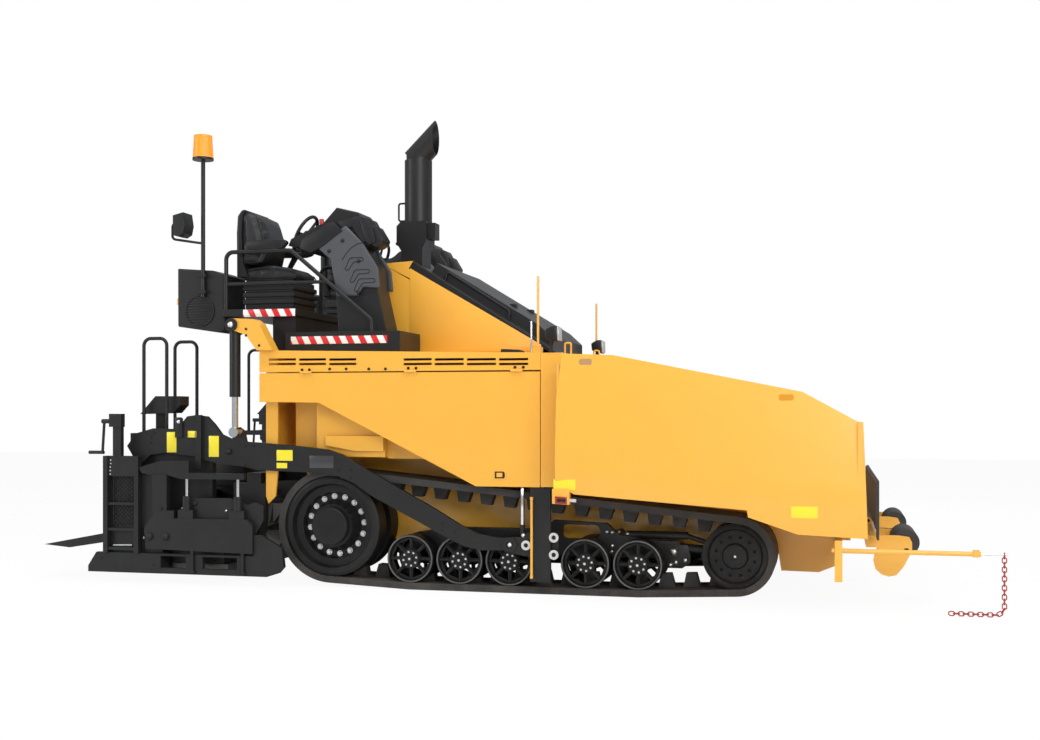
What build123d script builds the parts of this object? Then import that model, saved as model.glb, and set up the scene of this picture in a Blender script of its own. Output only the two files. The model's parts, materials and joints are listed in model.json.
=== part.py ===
import math
import os

from build123d import *

# Tracked asphalt paver with its screed. Millimetres.
# X runs forward, Y to the machine's left, Z up from the ground.

# Overall layout, as distances from the middle plane
BELT_OUTER_Y = 1215
BELT_WIDTH = 457
BELT_INNER_Y = BELT_OUTER_Y - BELT_WIDTH
FRAME_SIDE_Y = BELT_INNER_Y - 13
FRAME_PLATE = 25
ARM_INNER_Y = BELT_OUTER_Y + 15
ARM_THICK = 40
SIDE_OUTER_Y = ARM_INNER_Y + ARM_THICK + 65
SIDE_SKIN = 20
FIT = 0.05

# Running gear, with each wheel's rim on the belt's inner face
BELT_THICK = 52
DRIVE_X, DRIVE_Z, DRIVE_R = -1190, 475, 392
IDLER_X, IDLER_Z, IDLER_R, IDLER_HUB_R = 1922, 318, 237, 80
BOGIE_XS = (-550, -155, 235, 818, 1212)
BOGIE_Z, BOGIE_R, RIM_R, AXLE_R = 235, 183, 160, 60
TYRE_GAP = 0.3
LUG_PITCH, LUG_DEEP, LUG_LENGTH, LUG_TIP, LUG_WIDTH = 187, 100, 125, 76, 90
HUB_GAP = 8

# Main frame, conveyors and hopper
FLOOR_Z, SILL_Z = 340, 1000
CONVEYOR_TOP_Z, CONVEYOR_DEEP = 620, 200
CONVEYOR_REAR_X, CONVEYOR_FRONT_X = -1550, 2640
SLAT_HIGH, SLAT_PITCH = 14, 200
HINGE_REAR_Z, HINGE_FRONT_Z = 860, 640
HOPPER_REAR_X, HOPPER_FRONT_X = 690, 2800
WING_PLATE, WING_LEAN, WING_PIN_R = 14, 75, 12
WING_OUTER_Y, WING_HINGE_Y = SIDE_OUTER_Y + 325, FRAME_SIDE_Y + 8
WING_LUG_STATIONS = (160, 800, 1440, 2080)
WING_EYES = ((897, 1718, 96, 44), (2298, 1460, 104, 44))
WALL_X, WALL_PLATE = 640, 40
STRIP_REAR_X = 512
TUNNEL_TOP_Z, BELT_CLEAR_Z = 1010, 800

# Upper body
DECK_Z = 1820
DOOR_TOP_Z = 1668
BODY_REAR_X = -1743
DECK_SLOPE = 0.0191
SLOT_SPANS = ((-1664, -1436), (-1411, -1186), (-1161, -938), (-556, -332), (-309, -80), (-56, 170), (193, 417))
SLOT_ROWS = (1772, 1737)
DOOR_HINGE_XS, DOOR_HINGE_Y, DOOR_HINGE_Z = (-1350, -500, 330), SIDE_OUTER_Y + 9.5, 1670
HOOD_HALF_Y = 700

# Tow point, lift cylinders and screed
TOW_X, TOW_Z, TOW_PIN_R = 260, 372, 22
GUIDE_REAR_X, GUIDE_FRONT_X = 432, 586
CARRIAGE_THICK = 25
TOW_ROD_X, TOW_ROD_Y, TOW_ROD_R = 362, ARM_INNER_Y + 54, 15
LIFT_X, LIFT_Y, LIFT_TOP_Z, LIFT_EYE_Z, LIFT_GLAND_Z = -1955, ARM_INNER_Y + 95, 2045, 1205, 1482
LIFT_PIN_R, LIFT_ROD_R = 20, 25
MAST_Y = -1157.3
SCREED_HALF_Y = ARM_INNER_Y - 15
EXTENDER_BOTTOM_Z = 75
GATE_INNER_Y, GATE_JACK_XS = SIDE_OUTER_Y, (-2350, -1910)
TUBE_X, TUBE_Z, TUBE_R = -2840, 600, 50
AUGER_X, AUGER_Z, AUGER_R, AUGER_SHAFT_R, AUGER_PITCH = -1850, 420, 200, 45, 330
AUGER_START_Y, AUGER_END_Y = 60, SCREED_HALF_Y - 65
STEP_HINGE_X, STEP_HINGE_Z, STEP_TIP_X, STEP_PIN_R = -3155, 380, -3735, 10
STEP_LUG_YS = (100, 640, 1180)

# Front
APRON_HINGE_X, APRON_HINGE_Z, HINGE_PIN_R, APRON_HALF_Y = 2860, 560, 12, WING_OUTER_Y - 200
HITCH_X, HITCH_PIN_R, BEAM_HALF_Y = 2780, 25, 1160
ROLLER_X, ROLLER_Z, ROLLER_R, ROLLER_Y, ROLLER_LENGTH = 3110, 440, 92, BEAM_HALF_Y - 300, 500
GUIDE_ROD_Y, GUIDE_ROD_Z, GUIDE_ROD_R = WING_OUTER_Y - 60, 420, 8
GUIDE_CLAMP_X, GUIDE_TIP_X = 3558, 3735
CONSOLE_OUT_Y, CONSOLE_IN_Y = -1120, -780
LINK_LONG, LINK_WIDE, LINK_WIRE, LINK_STEP, CHAIN_X = 45, 34, 7, 30.6, 3704


def block(x0, x1, y0, y1, z0, z1):
    """A box between two corners."""
    centre = Pos((x0 + x1) / 2, (y0 + y1) / 2, (z0 + z1) / 2)
    return centre * Box(abs(x1 - x0), abs(y1 - y0), abs(z1 - z0))


def profile_y(outline, y0, y1):
    """An outline of (x, z) points, pushed from y0 to y1."""
    wire = Polyline([(x, y0, z) for x, z in outline], close=True)
    return extrude(make_face(wire), amount=y1 - y0, dir=(0, 1, 0))


def profile_x(outline, x0, x1):
    """An outline of (y, z) points, pushed from x0 to x1."""
    wire = Polyline([(x0, y, z) for y, z in outline], close=True)
    return extrude(make_face(wire), amount=x1 - x0, dir=(1, 0, 0))


def profile_z(outline, z0, z1):
    """An outline of (x, y) points, pushed from z0 to z1."""
    wire = Polyline([(x, y, z0) for x, y in outline], close=True)
    return extrude(make_face(wire), amount=z1 - z0, dir=(0, 0, 1))


def bar(start, end, radius):
    """A round bar between two points."""
    a, b = Vector(*start), Vector(*end)
    base = Plane(origin=a, z_dir=b - a)
    return base * Cylinder(radius, (b - a).length, align=(Align.CENTER, Align.CENTER, Align.MIN))


def disc_y(x, z, y0, y1, radius):
    """A disc or shaft along Y."""
    return bar((x, min(y0, y1), z), (x, max(y0, y1), z), radius)


def tube_path(points, bend, radius):
    """A round tube along straight runs with bent corners."""
    path = FilletPolyline(*points, radius=bend)
    start = Vector(*points[0])
    heading = Vector(*points[1]) - start
    return sweep(Plane(origin=start, z_dir=heading) * Circle(radius), path=path)


def joined(pieces):
    """One solid from pieces that meet."""
    whole = pieces[0]
    for piece in pieces[1:]:
        whole = whole + piece
    return whole


def other_side(shape):
    return mirror(shape, about=Plane.XZ)


def both_sides(shape):
    return [shape, other_side(shape)]


def save(name, *pieces):
    solids = [solid for piece in pieces for solid in piece.solids()]
    export_step(Compound(solids), f"parts/{name}.step")


# Belts and wheels. Near side is at -Y, the machine's right.

def loop_face(circles):
    """The outline that a belt takes round its wheels, listed counter-clockwise as (x, z, r)."""
    tangents = []
    for (x1, z1, r1), (x2, z2, r2) in zip(circles, circles[1:] + circles[:1]):
        away = math.hypot(x2 - x1, z2 - z1)
        ux, uz = (x2 - x1) / away, (z2 - z1) / away
        k = (r1 - r2) / away
        side = math.sqrt(1 - k * k)
        nx, nz = ux * k + uz * side, uz * k - ux * side
        tangents.append((nx, nz, (x1 + nx * r1, z1 + nz * r1), (x2 + nx * r2, z2 + nz * r2)))
    edges = []
    for index, (nx, nz, start, end) in enumerate(tangents):
        edges.append(Line((start[0], 0, start[1]), (end[0], 0, end[1])))
        mx, mz, following, _ = tangents[(index + 1) % len(tangents)]
        cx, cz, r = circles[(index + 1) % len(circles)]
        first, last = math.atan2(nz, nx), math.atan2(mz, mx)
        turn = (last - first) % (2 * math.pi)
        middle = first + turn / 2
        arc_mid = (cx + r * math.cos(middle), 0, cz + r * math.sin(middle))
        edges.append(ThreePointArc((end[0], 0, end[1]), arc_mid, (following[0], 0, following[1])))
    return make_face(edges), tangents


def wheel_circles(extra):
    """Drive wheel, first and last bogie and idler, in order round the belt."""
    return [
        (DRIVE_X, DRIVE_Z, DRIVE_R + extra),
        (BOGIE_XS[0], BOGIE_Z, BOGIE_R + extra),
        (BOGIE_XS[-1], BOGIE_Z, BOGIE_R + extra),
        (IDLER_X, IDLER_Z, IDLER_R + extra),
    ]


def belt_lug(x, z, nx, nz):
    """A guide lug on the belt's inner face, pointing inwards along -n."""
    tx, tz = -nz, nx
    half, tip = LUG_LENGTH / 2, LUG_TIP / 2
    corners = ((half, 4), (tip, -LUG_DEEP), (-tip, -LUG_DEEP), (-half, 4))
    outline = [(x + tx * a + nx * b, z + tz * a + nz * b) for a, b in corners]
    middle = -BELT_OUTER_Y + BELT_WIDTH / 2
    return profile_y(outline, middle - LUG_WIDTH / 2, middle + LUG_WIDTH / 2)


def belt_stations():
    """Evenly spaced places along the belt's inner face, with the outward normal at each."""
    circles = wheel_circles(TYRE_GAP)
    _, tangents = loop_face(circles)
    spans = []
    for index, (nx, nz, start, end) in enumerate(tangents):
        spans.append(("run", start, end, nx, nz, math.dist(start, end)))
        mx, mz, _, _ = tangents[(index + 1) % len(tangents)]
        cx, cz, r = circles[(index + 1) % len(circles)]
        first = math.atan2(nz, nx)
        turn = (math.atan2(mz, mx) - first) % (2 * math.pi)
        spans.append(("arc", (cx, cz), (r, first), turn, 0, r * turn))
    total = sum(span[-1] for span in spans)
    count = round(total / LUG_PITCH)
    stations = []
    for number in range(count):
        along = total * number / count
        for kind, a, b, c, d, length in spans:
            if along > length:
                along -= length
                continue
            if kind == "run":
                share = along / length
                place = (a[0] + (b[0] - a[0]) * share, a[1] + (b[1] - a[1]) * share, c, d)
            else:
                angle = b[1] + along / b[0]
                nx, nz = math.cos(angle), math.sin(angle)
                place = (a[0] + b[0] * nx, a[1] + b[0] * nz, nx, nz)
            stations.append(place)
            break
    return stations


def track_belt():
    """Rubber belt with its centre row of guide lugs."""
    outer, _ = loop_face(wheel_circles(BELT_THICK))
    inner, _ = loop_face(wheel_circles(TYRE_GAP))
    band = extrude(outer - inner, amount=BELT_WIDTH, dir=(0, 1, 0))
    belt = Pos(0, -BELT_OUTER_Y, 0) * band
    return joined([belt] + [belt_lug(*place) for place in belt_stations()])


def revolved_y(x, z, section):
    """A wheel turned about Y from (y, radius) points, y from the belt's outer face inwards."""
    points = [(x, -BELT_OUTER_Y + y, z + radius) for y, radius in section]
    face = make_face(Polyline(points, close=True))
    return revolve(face, axis=Axis((x, 0, z), (0, 1, 0)))


def drive_wheel():
    """Twin-rim friction wheel: a deep stepped dish and a capped hub."""
    width = BELT_WIDTH
    half, groove = width / 2, LUG_WIDTH / 2 + HUB_GAP
    rim_step, bolt_face, cap_r = 330, 200, 168
    section = [
        (10, cap_r), (10, 0), (width, 0), (width, 230), (width - 40, 230), (width - 40, 340),
        (width, DRIVE_R - 26), (width - 10, DRIVE_R), (half + groove, DRIVE_R),
        (half + groove, DRIVE_R - LUG_DEEP - 20), (half - groove, DRIVE_R - LUG_DEEP - 20),
        (half - groove, DRIVE_R), (12, DRIVE_R), (2, DRIVE_R - 26), (6, rim_step),
        (60, rim_step - 14), (66, rim_step - 66), (120, rim_step - 76), (120, bolt_face), (60, cap_r),
    ]
    return revolved_y(DRIVE_X, DRIVE_Z, section)


def idler():
    """Front idler with a shallow dish and hub cap."""
    width, half, groove = BELT_WIDTH, BELT_WIDTH / 2, LUG_WIDTH / 2 + HUB_GAP
    section = [
        (8, 86), (8, 0), (width, 0), (width, 120), (width - 40, 140), (width - 40, 200),
        (width, IDLER_R - 22), (width - 8, IDLER_R), (half + groove, IDLER_R),
        (half + groove, IDLER_HUB_R), (half - groove, IDLER_HUB_R),
        (half - groove, IDLER_R), (10, IDLER_R), (2, IDLER_R - 22), (12, 200), (40, 186), (34, 96),
    ]
    dish = revolved_y(IDLER_X, IDLER_Z, section)
    for number in range(12):
        angle = math.radians(15 + 30 * number)
        x, z = IDLER_X + 142 * math.cos(angle), IDLER_Z + 142 * math.sin(angle)
        dish = dish - disc_y(x, z, -BELT_OUTER_Y + 10, -BELT_OUTER_Y + 62, 12)
    return dish


def bogie_wheel(x):
    """Twin bogie wheel on one axle: each half a rim and a hub joined by a web with eight windows."""
    width, half, groove = BELT_WIDTH, BELT_WIDTH / 2, LUG_WIDTH / 2 + HUB_GAP
    outer = [
        (14, 52), (14, 0), (width - 14, 0), (width - 14, 52), (width - 44, 60), (width - 44, RIM_R),
        (width - 14, RIM_R + 8), (width - 14, BOGIE_R), (half + groove, BOGIE_R), (half + groove, RIM_R),
        (width - 62, RIM_R), (width - 62, AXLE_R), (62, AXLE_R), (62, RIM_R), (half - groove, RIM_R),
        (half - groove, BOGIE_R), (14, BOGIE_R), (14, RIM_R + 8), (44, RIM_R), (44, 60),
    ]
    wheel = revolved_y(x, BOGIE_Z, outer)
    windows = []
    for number in range(8):
        middle = math.radians(22.5 + 45 * number)
        corners = []
        for radius, spread in ((82, 0.22), (82, -0.22), (RIM_R - 12, -0.31), (RIM_R - 12, 0.31)):
            angle = middle + spread
            corners.append((x + radius * math.cos(angle), BOGIE_Z + radius * math.sin(angle)))
        windows.append(profile_y(corners, -BELT_OUTER_Y + 30, -BELT_OUTER_Y + width - 30))
    for window in windows:
        wheel = wheel - window
    return wheel


def track_frame():
    """Roller beam between the twin wheels, tied to the main frame, and the idler's sliding yoke."""
    middle = -BELT_OUTER_Y + BELT_WIDTH / 2
    y0, y1 = middle - 32, middle + 32
    beam = profile_y([(-690, 270), (-560, 400), (-380, 470), (470, 470), (540, 540), (950, 522),
                      (1040, 440), (1330, 400), (1500, 400), (1500, 300), (1380, 270)], y0, y1)
    window = profile_y([(380, 300), (380, 370), (400, 390), (540, 390), (560, 370), (560, 300),
                        (540, 285), (400, 285)], y0 - 1, y1 + 1)
    oval = profile_y([(600, 440), (612, 412), (640, 400), (860, 400), (888, 412), (900, 440), (900, 468),
                      (888, 496), (860, 508), (640, 508), (612, 496), (600, 468)], y0 - 1, y1 + 1)
    beam = beam - window - oval
    tension = [bar((1100, middle, 440), (1560, middle, 440), 30),
               bar((1550, middle, 440), (IDLER_X - 130, middle, 362), 18)]
    for x in BOGIE_XS:
        beam = beam - disc_y(x, BOGIE_Z, y0 - 1, y1 + 1, AXLE_R + 0.4)
    yoke = bar((1500, middle, 350), (IDLER_X - 120, middle, 330), 34)
    ring = disc_y(IDLER_X, IDLER_Z, y0 + 6, y1 - 6, IDLER_HUB_R + 42)
    ring = ring - disc_y(IDLER_X, IDLER_Z, y0, y1, IDLER_HUB_R + 0.4)
    hub = disc_y(IDLER_X, IDLER_Z, y0, y1, IDLER_HUB_R + 0.4)
    yoke = yoke - hub
    ties = [bar((x, y1, 430), (x, -FRAME_SIDE_Y, 430), 36) for x in (-350, 527, 1015)]
    return joined([beam, yoke, ring] + ties + tension)


# Main frame, conveyors and hopper

def main_frame():
    """Two side plates with a chin at the front, a floor, cross plates and the hitch lugs."""
    inner = FRAME_SIDE_Y - FRAME_PLATE
    side = profile_y([
        (-1600, 420), (-1500, FLOOR_Z), (2206, FLOOR_Z), (2230, 172), (2506, 168), (2644, 226),
        (2644, 400), (2740, 430), (2740, 530), (2835, APRON_HINGE_Z - 25),
        (APRON_HINGE_X + 12, APRON_HINGE_Z - 24), (APRON_HINGE_X + 25, APRON_HINGE_Z - 9),
        (APRON_HINGE_X + 25, APRON_HINGE_Z + 9), (APRON_HINGE_X + 12, APRON_HINGE_Z + 24),
        (HOPPER_FRONT_X, APRON_HINGE_Z + 40), (HOPPER_FRONT_X, HINGE_FRONT_Z - 24),
        (HOPPER_REAR_X, HINGE_REAR_Z - 24), (WALL_X, HINGE_REAR_Z - 20), (WALL_X, SILL_Z), (-1600, SILL_Z),
    ], -FRAME_SIDE_Y, -inner)
    side = side - disc_y(APRON_HINGE_X, APRON_HINGE_Z, -FRAME_SIDE_Y - 1, -inner + 1, HINGE_PIN_R + FIT)
    drive_boss = disc_y(DRIVE_X, DRIVE_Z, -BELT_INNER_Y + 0.3, -FRAME_SIDE_Y, 150)
    floor = block(-1480, 2206, -inner, inner, FLOOR_Z, FLOOR_Z + 22)
    ramp = profile_y([(2206, FLOOR_Z), (2644, 385), (2644, 407), (2206, FLOOR_Z + 22)], -inner, inner)
    front = block(2700, 2735, -inner, inner, 430, 530)
    sill = block(2644, 2735, -inner, inner, 408, 430)
    middle = block(-1480, 2640, -12, 12, FLOOR_Z + 22, CONVEYOR_TOP_Z - CONVEYOR_DEEP - 12)
    hitch = [block(2735, HITCH_X + 40, -60, 60, z, z + 22) for z in (398, 532)]
    pin = bar((HITCH_X, 0, 398), (HITCH_X, 0, 554), HITCH_PIN_R)
    rear_beam = block(-1600, -1560, -inner, inner, SILL_Z - 130, SILL_Z)
    cross = [block(x - 40, x + 40, -inner, inner, SILL_Z - 70, SILL_Z) for x in (-560, 260)]
    lugs = both_sides(wing_lugs())
    shafts = []
    for x in (CONVEYOR_REAR_X + CONVEYOR_DEEP / 2, CONVEYOR_FRONT_X - CONVEYOR_DEEP / 2):
        z = CONVEYOR_TOP_Z - SLAT_HIGH - CONVEYOR_DEEP / 2
        shafts += both_sides(disc_y(x, z, -inner, -inner + 9.7, 60))
    return joined([side, other_side(side), drive_boss, other_side(drive_boss), floor, ramp, front, sill,
                   middle, *hitch, pin, rear_beam, *cross, *lugs, *shafts])


def conveyor(y0, y1):
    """Slat conveyor: an endless floor of bars, closed round its end shafts."""
    r = CONVEYOR_DEEP / 2
    z = CONVEYOR_TOP_Z - SLAT_HIGH - r
    rear, front = CONVEYOR_REAR_X + r, CONVEYOR_FRONT_X - r
    outer, _ = loop_face([(rear, z, r), (front, z, r)])
    loop = Pos(0, y0, 0) * extrude(outer, amount=y1 - y0, dir=(0, 1, 0))
    count = int((front - rear) / SLAT_PITCH) + 1
    slats = []
    for number in range(count):
        x = rear + number * SLAT_PITCH
        slats.append(block(x - 16, x + 16, y0 + 20, y1 - 20, z + r - 2, z + r + SLAT_HIGH))
        slats.append(block(x - 16, x + 16, y0 + 20, y1 - 20, z - r - SLAT_HIGH, z - r + 2))
    return joined([loop] + slats)


def hopper_wall():
    """Bulkhead between engine bay and hopper, with the conveyor tunnel and the side strips."""
    half, tunnel = SIDE_OUTER_Y, FRAME_SIDE_Y + 3
    x0, x1 = WALL_X, WALL_X + WALL_PLATE
    wall = block(x0, x1, -half, half, TUNNEL_TOP_Z, DECK_Z - 20)
    leg = block(x0, x1, -half, -tunnel, BELT_CLEAR_Z, TUNNEL_TOP_Z)
    strip = block(STRIP_REAR_X, x1, -half, -half + SIDE_SKIN, 808, DECK_Z - 20)
    centre = block(x0, x1, -18, 18, CONVEYOR_TOP_Z + 6, TUNNEL_TOP_Z)
    top = block(STRIP_REAR_X, x1, -half, half, DECK_Z - 40, DECK_Z - 20)
    return joined([wall, leg, other_side(leg), centre, strip, other_side(strip), top])


def flow_gate(y0, y1):
    """Gate plate over one tunnel mouth."""
    return block(WALL_X + WALL_PLATE + 0.3, WALL_X + WALL_PLATE + 9, y0, y1, 940, 1300)


def wing_outline():
    """Side view of a lowered hopper wing."""
    return [
        (HOPPER_REAR_X, 1782), (1095, 1765), (2407, 1499), (2770, 1296), (2808, 1292),
        (2837, 505), (2375, 525), (2042, 637), (2034, 685), (825, 776), (HOPPER_REAR_X, 842),
    ]


def wing_plane():
    """A plane across the hinge line: its x runs along the machine's Y, its y upwards."""
    slope = math.atan2(HINGE_REAR_Z - HINGE_FRONT_Z, HOPPER_FRONT_X - HOPPER_REAR_X)
    along = (math.cos(slope), 0, -math.sin(slope))
    return Plane(origin=(HOPPER_REAR_X - 60, 0, HINGE_REAR_Z + 6), x_dir=(0, 1, 0), z_dir=along)


def pushed_along(outline, start, end):
    """An outline of (y, rise) points in the hinge plane, pushed from start to end along the hinge."""
    run = wing_plane()
    wire = Polyline([run.from_local_coords((y, z, start)) for y, z in outline], close=True)
    return extrude(make_face(wire), amount=end - start, dir=run.z_dir)


def hinge_bar(start, end, radius):
    """A round bar on the wing's hinge line."""
    run = wing_plane()
    a, b = [run.from_local_coords((-WING_HINGE_Y, 0, s)) for s in (start, end)]
    return bar(tuple(a), tuple(b), radius)


def wing_lugs():
    """Hinge lugs on the frame for one wing."""
    y = -WING_HINGE_Y
    shape = [(y + 8, -60), (y - 4, -40), (y - 20, -12), (y - 20, 12), (y - 12, 20), (y + 12, 20), (y + 20, 12),
             (y + 20, -60)]
    lugs = [pushed_along(shape, s - 20, s + 20) for s in WING_LUG_STATIONS]
    plates = joined(lugs)
    return plates - hinge_bar(0, 2300, WING_PIN_R + FIT)


def hopper_wing():
    """Right wing: a floor from the hinge out to the crease, and a side bent at the crease."""
    t = WING_PLATE
    crease_rise, top_rise, skirt_drop = 152, 960, 330
    outer, hinge = -WING_OUTER_Y, -WING_HINGE_Y - 27
    lean = outer + WING_LEAN
    side = [
        (outer, crease_rise), (lean, top_rise), (lean + t, top_rise), (outer + t, crease_rise),
        (lean - 15 + t, -skirt_drop), (lean - 15, -skirt_drop),
    ]
    floor = [
        (outer + t - 4, crease_rise - 10), (outer + t - 4, crease_rise + 4), (hinge, 14), (hinge, 0),
    ]

    window = profile_y(wing_outline(), outer - 20, 0)
    skin = pushed_along(side, 0, 2400) & window
    for x, z, length, height in WING_EYES:
        half, rise, corner = length / 2, height / 2, height / 5
        eye = [(x - half, z - corner), (x - half + corner, z - rise), (x + half - corner, z - rise),
               (x + half, z - corner), (x + half, z + corner), (x + half - corner, z + rise),
               (x - half + corner, z + rise), (x - half, z + corner)]
        skin = skin - profile_y(eye, outer - 10, outer + 190)
    depth = block(HOPPER_REAR_X, HOPPER_FRONT_X, outer, hinge, 400, 2000)
    pan = pushed_along(floor, 0, 2400) & depth
    pin = hinge_bar(80, 2180, WING_PIN_R)
    gaps = [s + offset for s in WING_LUG_STATIONS for offset in (-26, 26)]
    tongue = [(-WING_HINGE_Y, -9), (-WING_HINGE_Y, 9), (hinge - 12, 12), (hinge - 12, 2)]
    tongues = [pushed_along(tongue, a, b) for a, b in zip([80] + gaps[1::2], gaps[0::2] + [2180])]
    end = profile_x([
        (outer + 12, 1010), (outer + 70, 1700), (outer + 240, 1700), (hinge - 4, HINGE_REAR_Z + 50),
        (hinge - 4, HINGE_REAR_Z + 12),
    ], HOPPER_REAR_X, HOPPER_REAR_X + t)
    flange = block(2770, 2798, outer + 10, outer + 70, 830, 1290)
    return joined([skin, pan, end & window, flange & window, pin] + tongues)


def front_apron():
    """Front flap of the hopper: a steel plate faced with rubber, on a hinge shaft along its foot."""
    half, x, z = APRON_HALF_Y, APRON_HINGE_X, APRON_HINGE_Z
    plate = block(x + 30, x + 42, -half, half, z, z + 322)
    ledge = block(x, x + 30, -FRAME_SIDE_Y + FRAME_PLATE + 8, FRAME_SIDE_Y - FRAME_PLATE - 8, z - 6, z + 8)
    shaft = disc_y(x, z, -FRAME_SIDE_Y - 6, FRAME_SIDE_Y + 6, HINGE_PIN_R)
    low, mid, split = z - 78, z - 22, BEAM_HALF_Y + 60
    rubber = block(x + 42, x + 56, -split, split, mid, z + 328)
    corner = block(x + 42.1, x + 56, -half, -split - 0.3, low, z + 328)
    return [joined([plate, ledge, shaft, rubber]), corner, other_side(corner)]


def push_beam():
    """Beam that meets the truck's tyres, pivoted on the hitch pin, with arms at the roller ends."""
    beam = block(2835, 2925, -BEAM_HALF_Y, BEAM_HALF_Y, 405, 488)
    tongue = profile_z([(2835, -55), (HITCH_X + 10, -55), (HITCH_X - 22, -42), (HITCH_X - 36, -20),
                        (HITCH_X - 36, 20), (HITCH_X - 22, 42), (HITCH_X + 10, 55), (2835, 55)], 424, 528)
    bore = bar((HITCH_X, 0, 420), (HITCH_X, 0, 532), HITCH_PIN_R + FIT)
    pieces = [beam, tongue - bore]
    holes = []
    for side in (-1, 1):
        for end in (-1, 1):
            y = side * ROLLER_Y + end * (ROLLER_LENGTH / 2 + 16)
            arm = profile_y([(2925, 410), (2925, 488), (3060, 490), (3130, 480), (3150, 440),
                             (3120, 400), (3060, 392)], y - 10, y + 10)
            pieces.append(arm)
            pieces.append(disc_y(ROLLER_X, ROLLER_Z, y, y - end * 26, 14))
        outer = side * (ROLLER_Y + ROLLER_LENGTH / 2 + 16)
        guard = profile_y([(2925, 430), (2896, 370), (2886, 310), (2900, 250), (2940, 212), (2990, 198),
                           (3043, 209), (3095, 274), (3135, 356), (3149, 384), (3149, 440), (3120, 470),
                           (3060, 480)], outer - 10, outer + 10)
        hole = profile_y([(3094, 394), (3100, 388), (3122, 388), (3128, 394), (3122, 401), (3100, 401)],
                         outer - 11, outer + 11)
        pieces.append(guard - hole)
        holes.append(hole)
    whole = joined(pieces)
    for hole in holes:
        whole = whole - hole
    return whole


def push_roller(side):
    """Free roller between two arms, its bores over the arm's stub pins."""
    half = ROLLER_LENGTH / 2 + 5
    y = side * ROLLER_Y
    drum = disc_y(ROLLER_X, ROLLER_Z, y - half, y + half, ROLLER_R)
    bore = disc_y(ROLLER_X, ROLLER_Z, y - half - 1, y + half + 1, 14 + FIT)
    return drum - bore


def guide_post():
    """Square tube out to the steering guide, its post and clamp, and the yellow guide tube."""
    y = -GUIDE_ROD_Y
    across = block(2622, 2668, y, -FRAME_SIDE_Y, GUIDE_ROD_Z - 26, GUIDE_ROD_Z + 20)
    post = block(2620, 2671, y - 22, y + 22, 210, 490)
    tube = bar((2600, y, GUIDE_ROD_Z), (GUIDE_CLAMP_X, y, GUIDE_ROD_Z), 16)
    clamp = block(GUIDE_CLAMP_X - 50, GUIDE_CLAMP_X - 10, y - 24, y + 24, GUIDE_ROD_Z - 20, GUIDE_ROD_Z + 26)
    bore = bar((GUIDE_CLAMP_X - 800, y, GUIDE_ROD_Z), (GUIDE_CLAMP_X + 1, y, GUIDE_ROD_Z), GUIDE_ROD_R + 1)
    return joined([across, post, tube, clamp]) - bore


def guide_rod():
    y = -GUIDE_ROD_Y
    return bar((GUIDE_CLAMP_X - 500, y, GUIDE_ROD_Z), (GUIDE_TIP_X, y, GUIDE_ROD_Z), GUIDE_ROD_R)


def chain_link(x, z, angle, turned):
    """One chain link along a direction in the XZ plane, turned a quarter about it or not."""
    def loop(length, width, cut):
        a, b = length / 2, width / 2
        return [(-a, -b + cut), (-a + cut, -b), (a - cut, -b), (a, -b + cut), (a, b - cut), (a - cut, b),
                (-a + cut, b), (-a, b - cut)]
    long, wide, wire = LINK_LONG, LINK_WIDE, LINK_WIRE
    ring = profile_y(loop(long, wide, 10), -wire / 2, wire / 2)
    ring = ring - profile_y(loop(long - 2 * wire, wide - 2 * wire, 6), -wire, wire)
    turn = Rot(90, 0, 0) if turned else Rot(0, 0, 0)
    return Pos(x, -GUIDE_ROD_Y, z) * Rot(0, -math.degrees(angle), 0) * turn * ring


def guide_chain():
    """Chain that hangs from the steering guide and trails back along the ground."""
    bend, step = math.radians(-30), LINK_STEP - 0.4
    x, low = CHAIN_X, LINK_WIDE / 2 + 3
    z = GUIDE_ROD_Z + GUIDE_ROD_R + 0.3 - LINK_LONG / 2 + LINK_WIRE
    turn = step * sum(math.sin(math.radians(angle)) for angle in (105, 135, 165))
    hanging = int((z - low - turn) / step)
    fall = (z - low - turn) / (hanging + 1) if (z - low - turn) / step - hanging > 0.5 else step
    hanging = round((z - low - turn) / fall)
    angle = math.radians(-90)
    links = [chain_link(x, z, angle, True)]
    for number in range(1, hanging + 1):
        z -= fall
        links.append(chain_link(x, z, angle, number % 2 == 0))
    for number in range(hanging + 1, hanging + 13):
        change = bend if number <= hanging + 3 else 0
        middle = angle + change / 2
        x, z = x + step * math.cos(middle), z + step * math.sin(middle)
        angle += change
        links.append(chain_link(x, z, angle, number % 2 == 0))
    return links


# Upper body and engine

def deck_top(x):
    """Height of the sloping deck at x."""
    return DECK_Z + 24 - max(0, x - BODY_REAR_X - 60) * DECK_SLOPE


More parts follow.
